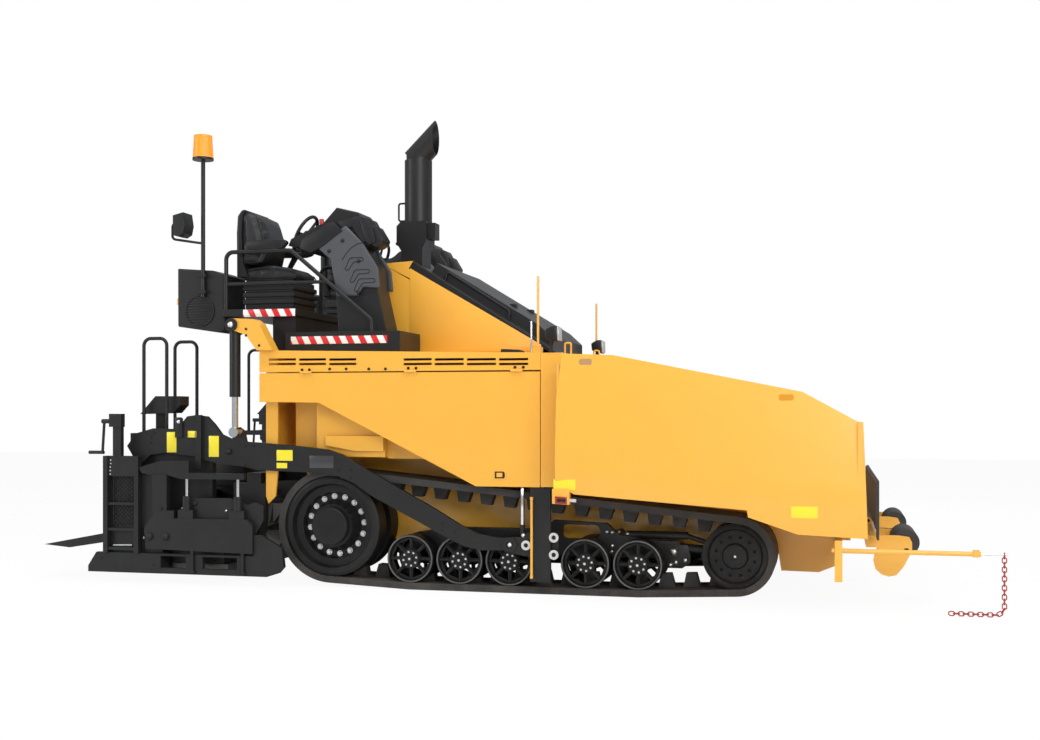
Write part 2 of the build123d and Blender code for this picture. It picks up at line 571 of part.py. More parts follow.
def upper_body():
    """Deck, fenders, rear wall, sills and rear posts."""
    half, skin = SIDE_OUTER_Y, SIDE_SKIN
    front = STRIP_REAR_X - 1
    crown = BODY_REAR_X + 60
    fender = profile_y([
        (BODY_REAR_X, DOOR_TOP_Z + 6), (BODY_REAR_X, deck_top(BODY_REAR_X)), (crown, deck_top(crown)),
        (front, deck_top(front)), (front, DOOR_TOP_Z + 6),
    ], -half, -half + skin)
    for z in SLOT_ROWS:
        for x0, x1 in SLOT_SPANS:
            drop = (x0 - crown) * DECK_SLOPE / 2
            fender = fender - block(x0, x1, -half - 1, -half + skin + 1, z - drop - 9, z - drop + 9)
    deck = profile_y([
        (BODY_REAR_X, DECK_Z), (BODY_REAR_X, deck_top(BODY_REAR_X)), (crown, deck_top(crown)),
        (front, deck_top(front)), (front, deck_top(front) - 24),
    ], -half + skin, half - skin)
    rear = block(BODY_REAR_X, BODY_REAR_X + 30, -half + 130, half - 130, SILL_Z, DECK_Z)
    sill = block(BODY_REAR_X, WALL_X, -FRAME_SIDE_Y, -FRAME_SIDE_Y + 40, SILL_Z, deck_top(WALL_X) - 20)
    inner_skin = block(-1640, WALL_X, -FRAME_SIDE_Y + 40, -FRAME_SIDE_Y + 60, SILL_Z, SILL_Z + 60)
    post = profile_y([
        (-1740, DECK_Z), (-1640, DECK_Z), (-1640, 900), (-1660, 700), (-1720, 640), (-1740, 700),
    ], -BELT_OUTER_Y - 6, -BELT_OUTER_Y + 14)
    post_web = block(-1740, -1660, -BELT_OUTER_Y + 14, -FRAME_SIDE_Y, SILL_Z, SILL_Z + 20)
    knuckles = [bar((x - 20, -DOOR_HINGE_Y, DOOR_HINGE_Z), (x + 20, -DOOR_HINGE_Y, DOOR_HINGE_Z), 9)
                for x in DOOR_HINGE_XS]
    leaves = [block(x - 20, x + 20, -DOOR_HINGE_Y + 5.5, -half, DOOR_HINGE_Z, DOOR_HINGE_Z + 34)
              for x in DOOR_HINGE_XS]
    axis = bar((-1800, -DOOR_HINGE_Y, DOOR_HINGE_Z), (600, -DOOR_HINGE_Y, DOOR_HINGE_Z), 4 + FIT)
    side = joined([fender, sill, inner_skin, post, post_web] + leaves + knuckles) - axis
    return joined([deck, rear, side, other_side(side)])


def side_tanks():
    """Tank and valve boxes over the belt, seen under the cut-away foot of the door."""
    y0, y1 = -1180, -FRAME_SIDE_Y
    tank = block(-1560, -760, y0, y1, 1012, 1660)
    tank = tank - block(-1561, -1330, y0 - 1, y0 + 120, 1011, 1661)
    shelf = block(-760, 500, y0 + 60, y1, SILL_Z, 1640)
    dashboard = profile_y([(-1240, 1100), (-1240, 1180), (-760, 1180), (-760, 1060), (-1000, 1060)], y0 - 40, y0)
    return joined([tank, shelf, dashboard])


def engine_block():
    lump = block(-700, 400, -420, 420, 1020, 1760)
    feet = [block(x - 60, x + 60, y - 50, y + 50, SILL_Z, 1020) for x in (-560, 260) for y in (-350, 350)]
    return joined([lump] + feet)


def engine_hood():
    """Yellow hood, open below, with its long slope down to the hopper."""
    front = STRIP_REAR_X - 8
    outline = [(-960, deck_top(-960)), (-960, 2573), (-695, 2589), (-735, 2525), (393, 1813),
               (front, deck_top(front) + 12), (front, deck_top(front))]
    shell = profile_y(outline, -HOOD_HALF_Y, HOOD_HALF_Y)
    hollow = profile_y([
        (-935, DECK_Z), (-935, 2546), (-760, 2555), (-764, 2514), (340, 1816), (340, DECK_Z - 60),
    ], -HOOD_HALF_Y + 25, HOOD_HALF_Y - 25)
    return shell - hollow


def hood_cover():
    """Black slope of the hood with its raised lid."""
    front = STRIP_REAR_X - 8
    slope = profile_y([(-694.5, 2588.5), (-734.6, 2525.1), (393.2, 1813.3), (front, deck_top(front) + 12.4),
                       (front, 1832)], -HOOD_HALF_Y, HOOD_HALF_Y)
    lid = profile_y([(-560, 2503), (-520, 2580), (330, 2062), (440, 1960), (440, 1868)],
                    -HOOD_HALF_Y + 70, HOOD_HALF_Y - 70)
    return joined([slope, lid])


def service_door():
    outline = [(-1743, 1442), (-1743, 1666), (507, 1662), (507, 806), (14, 807), (-1247, 1436)]
    skin = profile_y(outline, -SIDE_OUTER_Y, -SIDE_OUTER_Y + SIDE_SKIN)
    pieces = []
    for x in DOOR_HINGE_XS:
        for x0, x1 in ((x - 46, x - 20.5), (x + 20.5, x + 46)):
            pieces.append(bar((x0, -DOOR_HINGE_Y, DOOR_HINGE_Z), (x1, -DOOR_HINGE_Y, DOOR_HINGE_Z), 9))
            pieces.append(block(x0, x1, -DOOR_HINGE_Y + 5.5, -SIDE_OUTER_Y, DOOR_HINGE_Z - 34, DOOR_HINGE_Z))
        pieces.append(bar((x - 46, -DOOR_HINGE_Y, DOOR_HINGE_Z), (x + 46, -DOOR_HINGE_Y, DOOR_HINGE_Z), 4))
    return joined([skin] + pieces)


def lift_bracket():
    """Fork on the deck that holds the lift cylinder's upper pin."""
    outline = [(-2005, 2068), (-1953, 2097), (-1767, 2086), (-1726, 2055), (-1610, deck_top(-1610)),
               (-1683, DECK_Z + 24), (-1743, DECK_Z + 24), (-1834, 1964), (-1936, 2000)]
    y0, y1 = -LIFT_Y - 64, -LIFT_Y + 64
    whole = profile_y(outline, y0, y1)
    slot = block(-2100, LIFT_X + 58, -LIFT_Y - 44, -LIFT_Y + 44, 1700, 2200)
    pin = disc_y(LIFT_X, LIFT_TOP_Z, y0, y1, LIFT_PIN_R)
    return joined([whole - slot, pin])


def lift_barrel():
    eye = disc_y(LIFT_X, LIFT_TOP_Z, -LIFT_Y - 41, -LIFT_Y + 41, 36)
    barrel = bar((LIFT_X, -LIFT_Y, LIFT_TOP_Z - 28), (LIFT_X, -LIFT_Y, LIFT_GLAND_Z), 43)
    bore = bar((LIFT_X, -LIFT_Y, LIFT_TOP_Z - 60), (LIFT_X, -LIFT_Y, LIFT_GLAND_Z - 1), LIFT_ROD_R + 0.5)
    hole = disc_y(LIFT_X, LIFT_TOP_Z, -LIFT_Y - 42, -LIFT_Y + 42, LIFT_PIN_R + FIT)
    return joined([eye, barrel]) - bore - hole


def lift_rod():
    """Chrome rod whose eye lies beside the ear on the tow arm."""
    rod = bar((LIFT_X, -LIFT_Y, LIFT_EYE_Z), (LIFT_X, -LIFT_Y, LIFT_EYE_Z + 480), LIFT_ROD_R)
    eye = disc_y(LIFT_X, LIFT_EYE_Z, -LIFT_Y - 34, -ARM_INNER_Y - ARM_THICK - 0.3, 40)
    return joined([rod, eye])


def tow_guide():
    """Post outside the belt that guides the tow point, with its cylinder barrel behind the door."""
    y0, y1 = -SIDE_OUTER_Y + 3, -SIDE_OUTER_Y + 33
    post = block(GUIDE_REAR_X, GUIDE_FRONT_X, y0, y1, 105, 800)
    head = block(530, WALL_X - 0.3, y1 - 11, y1 + 30, 760, 950)
    barrel = bar((TOW_ROD_X, -TOW_ROD_Y, 830), (TOW_ROD_X, -TOW_ROD_Y, 1260), 25)
    bore = bar((TOW_ROD_X, -TOW_ROD_Y, 829), (TOW_ROD_X, -TOW_ROD_Y, 1240), TOW_ROD_R + 0.5)
    bracket = block(TOW_ROD_X + 20, WALL_X - 0.3, -TOW_ROD_Y - 15, -TOW_ROD_Y + 15, 1100, 1180)
    return [joined([post, head]), joined([barrel, bracket]) - bore]


def tow_slide():
    """Tow point carriage: a plate behind the post, gripping it with studs, the tow pin and the rod."""
    y0 = -ARM_INNER_Y - ARM_THICK - 2 - CARRIAGE_THICK
    y1 = y0 + CARRIAGE_THICK
    plate = profile_y([
        (TOW_X - 52, TOW_Z - 30), (TOW_X - 30, TOW_Z - 52), (380, 290), (640, 284), (640, 464), (400, 464),
        (345, 430), (TOW_X - 30, TOW_Z + 52), (TOW_X - 52, TOW_Z + 30),
    ], y0, y1)
    pin = disc_y(TOW_X, TOW_Z, y1, -ARM_INNER_Y + 2, TOW_PIN_R)
    studs = [disc_y(x, z, y0 - 28, y0, 18) for x, z in ((398, 377), (610, 436), (610, 312))]
    rod = bar((TOW_ROD_X, -TOW_ROD_Y, 430), (TOW_ROD_X, -TOW_ROD_Y, 900), TOW_ROD_R)
    return joined([plate, pin, rod] + studs)


def tow_arm():
    """Tow arm: a cranked plate from the tow pin back to the gooseneck over the screed."""
    y0 = -ARM_INNER_Y - ARM_THICK
    front = profile_y([
        (-1792, 906), (-1609, 901), (-1249, 889), (-1113, 867), (-979, 813), (-845, 721), (-238, 413),
        (-93, 347), (35, 322), (TOW_X, TOW_Z - 46), (TOW_X, TOW_Z + 46), (146, 422), (19, 442),
        (-125, 508), (-318, 620), (-845, 902), (-979, 979), (-1080, 1033), (-1198, 1072),
        (-1402, 1094), (-1792, 1124),
    ], y0, -ARM_INNER_Y)
    end = disc_y(TOW_X, TOW_Z, y0, -ARM_INNER_Y, 46)
    goose = profile_y([
        (-1792, 1124), (-1901, 1130), (-2004, 1146), (-2101, 1185), (-2162, 1262), (-2229, 1329),
        (-2321, 1340), (-2400, 1330), (-2493, 1228), (-2705, 1233), (-2855, 1193), (-2937, 1091),
        (-2830, 922), (-2730, 1018), (-2605, 1037), (-2345, 1011), (-2235, 978), (-2113, 951),
        (-1901, 931), (-1792, 906),
    ], y0, -ARM_INNER_Y)
    ear = profile_y([(-2010, 1140), (-1995, 1215), (-1955, 1245), (-1910, 1215), (-1890, 1125)],
                    y0, -ARM_INNER_Y)
    post = block(-2318, -2265, y0 - 28, y0, 914, 1341)
    hole = disc_y(TOW_X, TOW_Z, y0 - 1, -ARM_INNER_Y + 1, TOW_PIN_R + FIT)
    return joined([front, end, goose, ear, post]) - hole


def screed_frame():
    """Box frame of the main screed with end towers up to the tow arms, and the slide tubes."""
    body = block(-2560, -2110, -SCREED_HALF_Y, SCREED_HALF_Y, 150, 480)
    for y0, y1 in ((-SCREED_HALF_Y + 30, -25), (25, SCREED_HALF_Y - 30)):
        body = body - block(-2535, -2135, y0, y1, 149, 455)
    tower = profile_y([
        (-2560, 480), (-2200, 480), (-2200, 1000), (-2260, 1290), (-2400, 1290), (-2500, 1194),
        (-2930, 1194), (-2930, 1100), (-2850, 1040), (-2560, 1040),
    ], -ARM_INNER_Y, -ARM_INNER_Y + 70)
    hanger = block(TUBE_X - 60, -2560, -ARM_INNER_Y, -ARM_INNER_Y + 40, TUBE_Z - 60, 1040)
    tube = disc_y(TUBE_X, TUBE_Z, -ARM_INNER_Y + 2, ARM_INNER_Y - 2, TUBE_R)
    centre = block(TUBE_X - 60, -2560, -28, 28, TUBE_Z - 60, TUBE_Z + 120)
    front_tie = block(-2560, -2480, -28, 28, 480, TUBE_Z + 120)
    return joined([body, tower, other_side(tower), hanger, other_side(hanger), tube, centre, front_tie])


def screed_plate():
    return profile_y([(-2560, 75), (-2090, 75), (-2072, 110), (-2072, 150), (-2560, 150)],
                     -SCREED_HALF_Y, SCREED_HALF_Y)


def screed_rails():
    """Two looped grab rails on each end beam."""
    loops = []
    for y, foot in ((-1200, 1194.3), (-700, 1190)):
        path = [(-2825, y, foot), (-2825, y, 1960), (-2620, y, 1960), (-2620, y, foot)]
        loops.append(tube_path(path, 60, 14))
    beam = block(-2850, -2600, -ARM_INNER_Y + 70.3, -660, 1150, 1194)
    console = profile_y([(-2888, 1348), (-2752, 1494), (-2528, 1493), (-2528, 1421), (-2591, 1356)], -1150, -1005)
    stem = block(-2770, -2700, -1110, -1045, 1150, 1356)
    return [loops[0], joined([loops[1], beam, console, stem])]


def extender():
    """Right sliding extender behind the main screed, on the slide tube."""
    inner, outer = -40, -GATE_INNER_Y
    body = block(-3100, -2580, outer, inner, 150, 480) - block(-3080, -2600, outer + 20, inner - 20, 149, 455)
    sole = block(-3100, -2580, outer, inner, EXTENDER_BOTTOM_Z, 149.7)
    sleeve = block(TUBE_X - 75, TUBE_X + 75, -190, inner, 480, TUBE_Z + 75)
    bore = disc_y(TUBE_X, TUBE_Z, -1300, 0, TUBE_R + FIT)
    x, z = STEP_HINGE_X, STEP_HINGE_Z
    lug = [(-3100, z - 25), (x - 8, z - 22), (x - 21, z - 8), (x - 21, z + 8), (x - 8, z + 22), (-3100, z + 25)]
    lugs = [profile_y(lug, -y - 10, -y + 10) for y in STEP_LUG_YS]
    pivot = disc_y(STEP_HINGE_X, STEP_HINGE_Z, -1300, 0, STEP_PIN_R + FIT)
    return [joined([body, sleeve] + lugs) - bore - pivot, sole]


def end_gate():
    """End plate that keeps the mat's edge: ski, side box, ladder column, carrier, jacks and crank."""
    y1 = -GATE_INNER_Y - 0.3
    box = profile_y([(-2710, 446), (-2609, 582), (-2449, 585), (-2449, 523), (-1820, 525), (-1773, 477),
                     (-1773, 258), (-2696, 278)], y1 - 60, y1)
    ski = profile_y([(-3222, 81), (-1663, 81), (-1562, 113), (-1520, 161), (-1537, 308), (-1713, 405),
                     (-1773, 405), (-1773, 240), (-3149, 240), (-3222, 130)], y1 - 40, y1)
    for x0, x1 in ((-2575, -2355), (-2210, -1915)):
        ski = ski - block(x0, x1, y1 - 41, y1 + 1, 128, 222)
    springs = [bar((x, y1 - 50, 105), (x, y1 - 50, 290), 14) for x in (-2294, -1862)]
    feet = [block(x - 22, x + 22, y1 - 60, y1 - 30, 92, 112) for x in (-2294, -1862)]
    column = [block(-3077, -3037, y1 - 60, y1, 235, 1013), block(-2803, -2763, y1 - 60, y1, 235, 1013),
              block(-3040, -2800, y1 - 48, y1, 850, 1013), block(-3040, -2800, y1 - 8, y1, 235, 860)]
    rungs = [block(-3040, -2800, y1 - 52, y1 - 28, z, z + 22) for z in (262, 415, 620)]
    post = block(-2640, -2513, y1 - 58, y1, 560, 870)
    web = block(-2765, -2638, y1 - 8, y1, 440, 865)
    carrier = profile_y([(-2763, 922), (-2739, 879), (-2640, 862), (-2500, 862), (-2400, 835), (-1850, 835),
                         (-1850, 880), (-2325, 884), (-2325, 979), (-2573, 977)], y1 - 50, y1 - 10)
    back = profile_y([(-2302, 520), (-2302, 682), (-1988, 687), (-1839, 636), (-1770, 659), (-1702, 628),
                      (-1702, 520), (-1773, 400), (-2302, 400)], y1 - 12, y1)
    jacks = []
    for x in GATE_JACK_XS:
        jacks.append(block(x - 65, x + 65, y1 - 58, y1 - 2, 500, 592))
        jacks.append(bar((x, y1 - 30, 590), (x, y1 - 30, 700), 34))
    hoist = [block(-2994, -2922, y1 - 50, y1 - 5, 1010, 1250), block(-3024, -2916, y1 - 58, y1, 1245, 1350),
             bar((-3100, y1 - 30, 1290), (-3020, y1 - 30, 1290), 18),
             bar((-3082, y1 - 30, 1290), (-3098, y1 - 30, 1040), 11),
             bar((-3086, y1 - 30, 1040), (-3218, y1 - 30, 1040), 14)]
    return joined([box, ski, post, web, carrier, back] + springs + feet + column + rungs + jacks + hoist)


def gate_rods():
    """Chrome rods of the two gate jacks."""
    y = -GATE_INNER_Y - 30.3
    return [bar((x, y, 700), (x, y, 835), 13) for x in GATE_JACK_XS]


def walkway():
    """Fold-down walkway behind the extender."""
    plate = profile_y([(-3182, 374), (STEP_TIP_X, 271), (-3496, 250), (-3182, 300)], -SCREED_HALF_Y, -60)
    shaft = disc_y(STEP_HINGE_X, STEP_HINGE_Z, -STEP_LUG_YS[-1] - 20, -STEP_LUG_YS[0] + 20, STEP_PIN_R)
    webs = [block(-3184, STEP_HINGE_X, -far + 18, -near - 18, STEP_HINGE_Z - 26, STEP_HINGE_Z - 6)
            for near, far in zip(STEP_LUG_YS, STEP_LUG_YS[1:])]
    return joined([plate, shaft] + webs)


def screw_flight(x, z, y0, turns, hand):
    """Thin spiral blade along Y, as flat facets between a hub and a rim radius."""
    steps, thick, hub, rim = 12, 14, AUGER_SHAFT_R - 3, AUGER_R
    count = int(turns * steps)
    rows = []
    for number in range(count + 1):
        angle = hand * 2 * math.pi * number / steps
        y = y0 + AUGER_PITCH * number / steps
        cx, cz = math.cos(angle), math.sin(angle)
        rows.append([
            Vector(x + hub * cx, y, z + hub * cz), Vector(x + rim * cx, y, z + rim * cz),
            Vector(x + rim * cx, y + thick, z + rim * cz), Vector(x + hub * cx, y + thick, z + hub * cz),
        ])
    faces = []
    for near, far in zip(rows, rows[1:]):
        for corner in range(4):
            a, b = near[corner], near[(corner + 1) % 4]
            c, d = far[(corner + 1) % 4], far[corner]
            faces.append(Face(Wire.make_polygon([a, b, c])))
            faces.append(Face(Wire.make_polygon([a, c, d])))
    for row in (rows[0], rows[-1]):
        faces.append(Face(Wire.make_polygon(row)))
    return Solid(Shell(faces))


def auger(side):
    """One auger: a shaft with its spiral blade."""
    y0, y1 = (-AUGER_END_Y, -AUGER_START_Y) if side < 0 else (AUGER_START_Y, AUGER_END_Y)
    shaft = disc_y(AUGER_X, AUGER_Z, side * (AUGER_START_Y - 25), side * (AUGER_END_Y + 25), AUGER_SHAFT_R)
    turns = int((y1 - y0) / AUGER_PITCH)
    spare = (y1 - y0 - turns * AUGER_PITCH) / 2
    blade = screw_flight(AUGER_X, AUGER_Z, y0 + spare, turns, side)
    return joined([shaft, blade])


def auger_frame():
    """Beam behind the belts with the middle drive case and the end hangers."""
    inner = FRAME_SIDE_Y - FRAME_PLATE
    beam = block(AUGER_X - 60, AUGER_X + 60, -SCREED_HALF_Y + 5, SCREED_HALF_Y - 5, 800, 880)
    arms = [block(AUGER_X + 60, -1600, y0, y0 + FRAME_PLATE, 800, 880) for y0 in (-FRAME_SIDE_Y, inner)]
    case = block(AUGER_X - 75, AUGER_X + 75, -AUGER_START_Y + 4, AUGER_START_Y - 4, AUGER_Z - 90, 800)
    hanger = profile_y([(AUGER_X - 75, AUGER_Z - 70), (AUGER_X + 75, AUGER_Z - 70), (AUGER_X + 100, 520),
                        (AUGER_X + 100, 800), (AUGER_X - 175, 800), (AUGER_X - 175, 520)],
                       -SCREED_HALF_Y + 5, -AUGER_END_Y - 4)
    bore = disc_y(AUGER_X, AUGER_Z, -1300, 1300, AUGER_SHAFT_R + FIT)
    return joined([beam, *arms, case - bore, hanger - bore, other_side(hanger - bore)])


# Operator's station

def operator_deck():
    """Foot wells in front and the raised seat deck behind, on side frames."""
    low = profile_y([(-1588, deck_top(-1588)), (-1588, 1992), (-965, 1992), (-965, deck_top(-965))], -1200, 1200)
    wing = profile_y([(-965, deck_top(-965)), (-965, 1992), (-631, 1992), (-631, deck_top(-631))],
                     -1200, -HOOD_HALF_Y - 10)
    high = block(-2140, -1520, -1180, 1180, 2127, 2185)
    riser = block(-1600, -1540, -1100, 1100, 1992, 2127)
    legs = [block(-1740, -1600, y, y + 60, DECK_Z + 24, 2127) for y in (-1100, 1040)]
    return joined([low, wing, other_side(wing), high, riser, *legs])


def rear_cabinets():
    cabinet = profile_y([(-2555, 2057), (-2183, 2002), (-2140, 2026), (-2140, 2470), (-2245, 2505),
                         (-2557, 2529)], -1140, -760)
    return cabinet


def guard_rail():
    y = -1150
    path = [(-2120, y, 2185), (-2120, y, 2645), (-1560, y, 2645), (-880, y, 2080), (-880, y, 1992)]
    rail = tube_path(path, 60, 17)
    mid = bar((-2120, y, 2388), (-1260, y, 2388), 14)
    inner = tube_path([(-1540, -598, 2185), (-1540, -598, 2565), (-1229, -598, 2565), (-1229, -598, 1992)], 60, 14)
    return [joined([rail, mid]), inner]


def seat_base():
    core = block(-1990, -1575, -1075, -645, 2185, 2420)
    ribs = [block(-2005, -1558, -1090, -630, z, z + 36) for z in (2232, 2288, 2344)]
    return joined([core] + ribs) - block(-1970, -1595, -1055, -665, 2184, 2395)


def seat():
    """Cushion and backrest, each one simple solid."""
    cushion = block(-2010, -1540, -1095, -625, 2420, 2550)
    back = profile_y([(-2060, 2550), (-2060, 2890), (-2040, 2975), (-1995, 3000), (-1955, 2970),
                      (-1915, 2720), (-1890, 2550)], -1090, -630)
    return [cushion, back]


def console_shells():
    """Grey side mouldings of one console."""
    outline = [(-1115, 2834), (-1354, 2665), (-1243, 2566), (-1192, 2276), (-1013, 2272), (-971, 2343),
               (-828, 2332), (-844, 2491), (-971, 2693)]
    return [profile_y(outline, y, y + 32) for y in (CONSOLE_OUT_Y, CONSOLE_IN_Y - 32)]


def console_head():
    """Tilted control head of one console on its pedestal."""
    y0, y1 = CONSOLE_OUT_Y + 32.3, CONSOLE_IN_Y - 32.3
    head = profile_y([(-1614, 2690), (-1590, 2745), (-1311, 2865), (-1200, 2981), (-1013, 2934),
                      (-870, 2730), (-903, 2675), (-1354, 2641)], y0, y1)
    core = profile_y([(-1300, 2660), (-1225, 2560), (-1183, 1992), (-780, 1992), (-860, 2334), (-870, 2491),
                      (-985, 2690)], y0, y1)
    foot = profile_y([(-1158, 1991), (-800, 1991), (-885, 2330), (-890, 2480), (-1180, 2480)], y0 + 25, y1 - 25)
    return joined([head, core - foot])


def steering_wheel():
    centre = (-1575, -860, 2850)
    tilt = Plane(origin=centre, z_dir=(-0.55, 0, 0.83))
    ring = tilt * Torus(165, 14)
    hub = tilt * Cylinder(40, 24)
    spokes = [tilt * Rot(0, 0, a) * Pos(90, 0, 0) * Box(150, 26, 12) for a in (30, 150, 270)]
    column = bar(centre, (-1300, -860, 2640), 30)
    return joined([ring, hub, column] + spokes) - console_head()


def exhaust_stack():
    """Stack on its box, with a slash-cut elbow that faces forward."""
    x, y, lean = -716, -500, (0.72, 0.694)
    base = profile_y([(-826, 2581.3), (-826, 2696), (-867, 2740), (-867, 2887), (-832, 2924), (-612, 2924),
                      (-612, 2760), (-645, 2700), (-645, 2557.5), (-695, 2589)], y - 115, y + 115)
    front_box = block(-612, -553, y - 60, y + 60, 2782, 2914)
    shell = bar((x, y, 2900), (x, y, 3437), 113)
    neck = bar((x + 4, y, 3400), (x + 4, y, 3478), 103)
    start, end = (x + 4 - 60 * lean[0], y, 3478 - 60 * lean[1]), (x + 330 * lean[0], y, 3478 + 330 * lean[1])
    keep = block(-950, -568, y - 200, y + 200, 3420, 3900)
    elbow = bar(start, end, 101) & keep
    hollow = joined([bar((x + 4, y, 3300), (x + 4, y, 3478), 92), bar(start, end, 93)])
    return joined([base, front_box, shell, neck, elbow]) - hollow


def beacon_mast():
    x, y = -2320, MAST_Y
    pole = bar((x, y, 2287), (x, y, 3392), 17)
    plate = bar((x, y, 3392), (x, y, 3410), 84)
    clamps = [block(x - 32, x + 32, y - 24, -1140, z, z + 26) for z in (2320, 2450)]
    return joined([pole, plate] + clamps)


def beacon_lens():
    return Pos(-2320, MAST_Y, 3410) * Cone(82, 72, 180, align=(Align.CENTER, Align.CENTER, Align.MIN))


def mirror_head():
    y = -1230
    arm = tube_path([(-2330, MAST_Y, 2724), (-2552, y, 2755), (-2552, y, 2880), (-2500, y, 2880)], 30, 10)
    arm = arm - bar((-2320, MAST_Y, 2600), (-2320, MAST_Y, 2900), 17.1)
    head = profile_y([(-2508, 2775), (-2508, 2935), (-2418, 2956), (-2403, 2860), (-2418, 2790), (-2460, 2766)],
                     y - 75, y + 75)
    return joined([arm, head])


def sight_rod():
    foot = profile_y([(430, deck_top(430)), (430, DECK_Z + 30), (490, DECK_Z + 30), (490, deck_top(490))],
                     -1240, -1160)
    rod = joined([bar((461, -1200, DECK_Z), (461, -1200, 2380), 9), foot])
    y = -SIDE_OUTER_Y + 3
    scale = bar((446, y - 14, 150), (446, y - 14, 718), 10)
    studs = [block(436, 456, y - 24, y - 0.3, z, z + 22) for z in (132, 712)]
    return [rod, joined([scale] + studs)]


os.makedirs("parts", exist_ok=True)
belt = track_belt()
save("track_belt_right", belt)
save("track_belt_left", other_side(belt))
save("drive_wheels", *both_sides(drive_wheel()))
save("idlers", *both_sides(idler()))
save("bogie_wheels", *[piece for x in BOGIE_XS for piece in both_sides(bogie_wheel(x))])
save("track_frames", *both_sides(track_frame()))
save("main_frame", main_frame())
lane_inner, lane_outer = 20, FRAME_SIDE_Y - FRAME_PLATE - 10
save("conveyors", conveyor(-lane_outer, -lane_inner), conveyor(lane_inner, lane_outer))
save("hopper_wall", hopper_wall())
save("flow_gates", flow_gate(-680, -30), flow_gate(30, 680))
wing = hopper_wing()
save("hopper_wing_right", wing)
save("hopper_wing_left", other_side(wing))
save("front_apron", *front_apron())
save("push_beam", push_beam())
save("push_roller_right", push_roller(-1))
save("push_roller_left", push_roller(1))
save("guide_post", guide_post())
save("guide_rod", guide_rod())
save("guide_chain", *guide_chain())
save("upper_body", upper_body())
save("side_tanks", *both_sides(side_tanks()))
save("engine_block", engine_block())
save("engine_hood", engine_hood())
save("hood_cover", hood_cover())
save("service_door_right", service_door())
save("service_door_left", other_side(service_door()))
save("lift_brackets", *both_sides(lift_bracket()))
save("lift_barrels", *both_sides(lift_barrel()))
save("lift_rods", *both_sides(lift_rod()))
save("tow_guides", *[piece for part in tow_guide() for piece in both_sides(part)])
save("tow_slides", *both_sides(tow_slide()))
save("tow_arms", *both_sides(tow_arm()))
save("screed_frame", screed_frame())
save("screed_plate", screed_plate())
save("screed_rails", *[piece for part in screed_rails() for piece in both_sides(part)])
save("auger_right", auger(-1))
save("auger_left", auger(1))
save("auger_frame", auger_frame())
for name, turned in (("right", False), ("left", True)):
    def placed(pieces):
        return [other_side(piece) for piece in pieces] if turned else pieces
    save(f"extender_{name}", *placed(extender()))
    save(f"end_gate_{name}", *placed([end_gate()]))
    save(f"gate_rods_{name}", *placed(gate_rods()))
    save(f"walkway_{name}", *placed([walkway()]))
save("operator_deck", operator_deck())
save("rear_cabinets", *both_sides(rear_cabinets()))
save("guard_rails", *[piece for part in guard_rail() for piece in both_sides(part)])
save("seat_bases", *both_sides(seat_base()))
save("seats", *[piece for part in seat() for piece in both_sides(part)])
save("consoles", *[piece for part in console_shells() for piece in both_sides(part)])
save("console_heads", *both_sides(console_head()))
save("steering_wheels", *both_sides(steering_wheel()))
save("exhaust_stack", exhaust_stack())
save("beacon_mast", beacon_mast(), mirror_head())
save("beacon_lens", beacon_lens())
save("sight_rods", *[piece for part in sight_rod() for piece in both_sides(part)])
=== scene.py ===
import json
import math

import bmesh
import bpy
from mathutils import Matrix, Vector
from mathutils.bvhtree import BVHTree

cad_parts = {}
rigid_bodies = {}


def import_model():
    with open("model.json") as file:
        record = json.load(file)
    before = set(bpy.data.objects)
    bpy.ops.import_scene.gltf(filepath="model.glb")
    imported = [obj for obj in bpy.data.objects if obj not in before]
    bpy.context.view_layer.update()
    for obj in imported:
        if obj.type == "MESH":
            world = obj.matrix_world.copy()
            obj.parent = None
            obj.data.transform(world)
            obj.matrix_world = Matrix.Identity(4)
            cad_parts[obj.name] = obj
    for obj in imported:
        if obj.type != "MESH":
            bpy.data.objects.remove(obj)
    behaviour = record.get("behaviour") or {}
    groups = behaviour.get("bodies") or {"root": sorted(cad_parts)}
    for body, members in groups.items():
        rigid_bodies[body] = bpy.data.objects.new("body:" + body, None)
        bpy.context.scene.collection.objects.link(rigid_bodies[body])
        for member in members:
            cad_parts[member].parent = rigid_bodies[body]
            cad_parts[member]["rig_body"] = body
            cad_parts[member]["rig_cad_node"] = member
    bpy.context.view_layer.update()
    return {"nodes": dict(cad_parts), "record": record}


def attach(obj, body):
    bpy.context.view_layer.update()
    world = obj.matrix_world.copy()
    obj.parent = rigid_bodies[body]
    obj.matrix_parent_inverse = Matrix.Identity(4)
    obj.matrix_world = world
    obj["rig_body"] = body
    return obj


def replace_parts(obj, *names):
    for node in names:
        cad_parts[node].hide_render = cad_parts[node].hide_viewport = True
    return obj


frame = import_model()
cadNodes = frame["nodes"]
bodyOf = {node: body for body, group in frame["record"]["behaviour"]["bodies"].items() for node in group}
print("paver loaded:", len(cadNodes), "nodes")


# Camera at the photograph's place, level, looking a little back along the machine
cameraSet = {
    "place": (2.622, -10.475, 1.34),
    "turn": 13.93,
    "lens": 43.96,
    "sensor": 36,
    "shift": 0.0433,
    "reach": 100,
}


def placeCamera():
    eye = bpy.data.cameras.new("paverCamera")
    holder = bpy.data.objects.new("paverCamera", eye)
    bpy.context.scene.collection.objects.link(holder)
    holder.location = cameraSet["place"]
    holder.rotation_euler = (math.radians(90), 0, math.radians(cameraSet["turn"]))
    eye.lens = cameraSet["lens"]
    eye.sensor_width = cameraSet["sensor"]
    eye.shift_y = cameraSet["shift"]
    eye.clip_end = cameraSet["reach"]
    bpy.context.scene.camera = holder


placeCamera()


